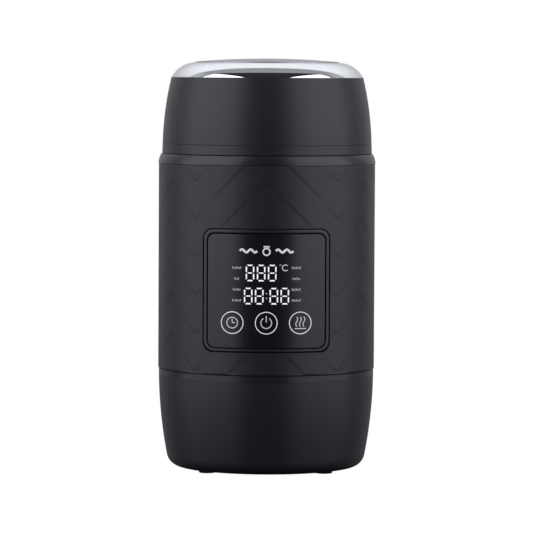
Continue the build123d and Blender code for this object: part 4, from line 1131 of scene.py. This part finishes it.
class PrintPanel(bpy.types.Operator):
    """Lit digits, touch keys and small signs on the window"""
    bl_idname = "yogurt.print_panel"
    bl_label = "Panel signs"

    def execute(self, context):
        panel = context.scene.panel_sizes
        self.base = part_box("panel_window")[0].z - panel.gap - panel.bottom
        self.digits(panel)
        self.keys(panel)
        self.programme_marks(panel)
        self.emblem(panel)
        return {"FINISHED"}

    def digits(self, panel):
        """Three digits with a degree sign and a C, and four digits with a colon below."""
        upper, lower = self.base + 41.6 * MM, self.base + 28.1 * MM
        bars = []
        for low, places in ((upper, (-9.6, -3.1, 3.35)), (lower, (-10.6, -4.15, 4.35, 10.75))):
            for middle in places:
                bars += digit_parts(middle * MM, low, panel)
        print_signs("lit_digits", bars, finish("digits"), panel)
        unit = (11.0 * MM, upper + 7.9 * MM)
        print_signs("lit_unit", [loop(unit, 1.95 * MM, 0.45 * MM, 42, 318, 24)], finish("emblem"),
                    panel)
        faint = [dot((0.1 * MM, lower + panel.digit_h * share), 0.42 * MM)
                 for share in (0.37, 0.65)]
        faint.append(loop((8.1 * MM, upper + 9.5 * MM), 0.5 * MM, 0.25 * MM, steps=14))
        print_signs("colon_and_degree", faint, finish("signs"), panel)

    def keys(self, panel):
        """Three rings, with a clock, a power sign and rising warmth in them."""
        z = self.base + 17.2 * MM
        thin, sign_r, half_base = 0.5 * MM, 3.4 * MM, 3.3 * MM
        places = (-panel.key_pitch, 0, panel.key_pitch)
        rings = [loop((x, z), panel.key_r, panel.key_t) for x in places]
        print_signs("key_rings", rings, finish("rings"), panel)
        x = places[0]
        signs = [loop((x, z), sign_r, thin), stroke((x, z), (x, z + 2.3 * MM), thin),
                 stroke((x, z), (x + 1.7 * MM, z), thin)]
        signs += [loop((0, z), sign_r, thin, 122, 418),
                  stroke((0, z + 0.4 * MM), (0, z + 4.1 * MM), thin)]
        x = places[2]
        signs.append(stroke((x - half_base, z - half_base), (x + half_base, z - half_base), thin))
        for side in (-1, 0, 1):
            foot = x + side * 2.1 * MM
            signs.append(wave((foot, z - 2.2 * MM), (foot, z + 3.6 * MM), 0.55 * MM, thin))
        print_signs("key_signs", signs, finish("key_signs"), panel)

    def programme_marks(self, panel):
        """Eight rows of short ticks beside the digits, one row for each programme. Every third
        tick is taller."""
        pitch, tick, short, tall = 0.78 * MM, 0.42 * MM, 1.125 * MM, 1.5 * MM
        aside, top_row, row_pitch = 17.4 * MM, self.base + 48.7 * MM, 6.35 * MM
        marks = []
        for side, counts in ((-1, (7, 4, 6, 7)), (1, (7, 6, 7, 7))):
            for step, count in enumerate(counts):
                z = top_row - row_pitch * step
                for i in range(count):
                    x = side * aside + (i - (count - 1) / 2) * pitch
                    marks.append(stroke((x, z), (x, z + (short if i % 3 else tall)), tick))
        print_signs("programme_marks", marks, finish("signs"), panel)

    def emblem(self, panel):
        """A plain jar with a wave on each side, printed, with a painted glow from its emissive
        finish.
        """
        z = self.base + 59.3 * MM
        parts = [wave((side * 5.5 * MM, z), (side * 15.6 * MM, z), 0.9 * MM, 1.25 * MM, 2.0, 40)
                 for side in (-1, 1)]
        parts += [loop((0, z - 0.5 * MM), 2.4 * MM, 0.8 * MM),
                  stroke((-1.8 * MM, z + 2.5 * MM), (1.8 * MM, z + 2.5 * MM), 0.85 * MM)]
        print_signs("jar_emblem", parts, finish("emblem"), panel)


# ------------------------------------------------------------------ pot, well and spring
def pot_profile():
    """Pot: from the middle of the floor's raised part, out and up to the rim, and back inside."""
    low, high = foot_of("inner_pot"), head_of("inner_pot")
    outer, raised_r, raised = POT_R - 5.7 * MM, 14 * MM, 1.8 * MM
    middle = (outer - FLOOR_CORNER, low + FLOOR_CORNER)
    outside = corner_arc(middle, FLOOR_CORNER, 0, -90, 12)
    inside = corner_arc(middle, FLOOR_CORNER - POT_WALL, -90, 0, 12)
    under = [(0, low + raised), (raised_r - 0.8 * MM, low + raised), (raised_r, low)]
    rim = [(outer, high - POT_WALL), (POT_R, high - POT_WALL), (POT_R, high),
           (outer - POT_WALL, high)]
    over = [(raised_r + 1.4 * MM, low + POT_WALL), (raised_r, low + raised + POT_WALL),
            (0, low + raised + POT_WALL)]
    return np.concatenate([under, outside[::-1], rim, inside[::-1], over])


def well_profile():
    """Well: flange, wall, rounded corner and a floor with the sensor's hole."""
    low, high, flange = foot_of("heating_cup"), head_of("heating_cup"), radius_of("heating_cup")
    outer, hole, floor = flange - 6.4 * MM, 9 * MM, 1.2 * MM
    out = outer - FLOOR_CORNER - POT_WALL
    size = FLOOR_CORNER + POT_WALL
    outside = corner_arc((out, low + size), size, 0, -90, 12)
    inside = corner_arc((out, low + FLOOR_CORNER + floor), FLOOR_CORNER, -90, 0, 12)
    return np.concatenate([[(flange, high), (flange, high - floor), (outer, high - floor)],
                           outside, [(hole, low), (hole, low + floor)], inside,
                           [(outer - POT_WALL, high)]])


class MakePot(bpy.types.Operator):
    """Steel pot, aluminium well and the spring under the sensor's head"""
    bl_idname = "yogurt.make_pot"
    bl_label = "Pot and well"

    def execute(self, context):
        turns = context.scene.barrel_sizes.turns
        soften(solid("steel_pot", *lathe(pot_profile(), turns), "pot", finish("steel"),
                     ("inner_pot",), "pot_steel"), SHEET_EDGE, 2)
        soften(solid("heated_well", *lathe(well_profile(), turns), "housing",
                     finish("aluminium"), ("heating_cup",), "cup_aluminium"), SHEET_EDGE, 2)
        self.spring()
        return {"FINISHED"}

    def spring(self):
        """Coil under the sensor's head: a circle carried along a rising helix."""
        low, high = foot_of("sensor_spring"), head_of("sensor_spring")
        wire, turns, travel = 0.45 * MM, 4.0, 2.02 * MM
        ring = radius_of("sensor_spring") - wire
        steps, round_steps = 128, 12
        angle = (np.linspace(0, turns, steps) * 2 * math.pi)[:, None]
        around = (np.arange(round_steps) * 2 * math.pi / round_steps)[None]
        reach = ring + wire * np.cos(around)
        rise = low + wire + (high - low - 2 * wire) * angle / angle[-1]
        z = rise + wire * np.sin(around)
        points = np.stack([reach * np.cos(angle), reach * np.sin(angle), z], axis=-1)
        faces = grid_faces(steps, round_steps, False, True).tolist()
        last = (steps - 1) * round_steps
        faces += [list(range(round_steps))[::-1], list(range(last, last + round_steps))]
        coil = solid("coil_spring", points.reshape(-1, 3), faces, "housing", finish("zinc"),
                     ("sensor_spring",), "spring_steel")
        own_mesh(coil)


class PaintInside(bpy.types.Operator):
    """Finishes of the pieces that keep the frame's own shape"""
    bl_idname = "yogurt.paint_inside"
    bl_label = "Finishes of the frame's pieces"

    def execute(self, context):
        for node, name in NODE_FINISHES.items():
            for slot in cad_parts[node].material_slots:
                slot.material = finish(name)
        return {"FINISHED"}


# ------------------------------------------------------------------ panel in the sidebar
STEPS = (MakeStage, MakeLid, MakeCollar, MakeSleeve, MakeBase, MakePanel, PrintPanel, MakePot,
         PaintInside)


class YogurtMakerPanel(bpy.types.Panel):
    """Buttons and settings of the yogurt maker"""
    bl_idname = "VIEW3D_PT_yogurt_maker"
    bl_label = "Yogurt maker"
    bl_space_type = "VIEW_3D"
    bl_region_type = "UI"
    bl_category = "Yogurt maker"

    def draw(self, context):
        for step in STEPS:
            self.layout.operator(step.bl_idname)
        for name in GROUPS:
            group = getattr(context.scene, name)
            for value in group.bl_rna.properties.keys():
                if value not in ("rna_type", "name"):
                    self.layout.prop(group, value)


GROUPS = {"barrel_sizes": BarrelSizes, "panel_sizes": PanelSizes,
          "finish_colours": FinishColours, "studio": StudioSettings}


def register():
    """Registers the settings, the operators and the panel."""
    for name, group in GROUPS.items():
        bpy.utils.register_class(group)
        setattr(bpy.types.Scene, name, PointerProperty(type=group))
    for item in (*STEPS, YogurtMakerPanel):
        bpy.utils.register_class(item)


def unregister():
    """Takes everything that register added away again."""
    for item in (*STEPS, YogurtMakerPanel):
        bpy.utils.unregister_class(item)
    for name, group in GROUPS.items():
        delattr(bpy.types.Scene, name)
        bpy.utils.unregister_class(group)


def main():
    """Makes every piece in order."""
    register()
    for step in STEPS:
        space, name = step.bl_idname.split(".")
        getattr(getattr(bpy.ops, space), name)()


if __name__ == "__main__":
    main()
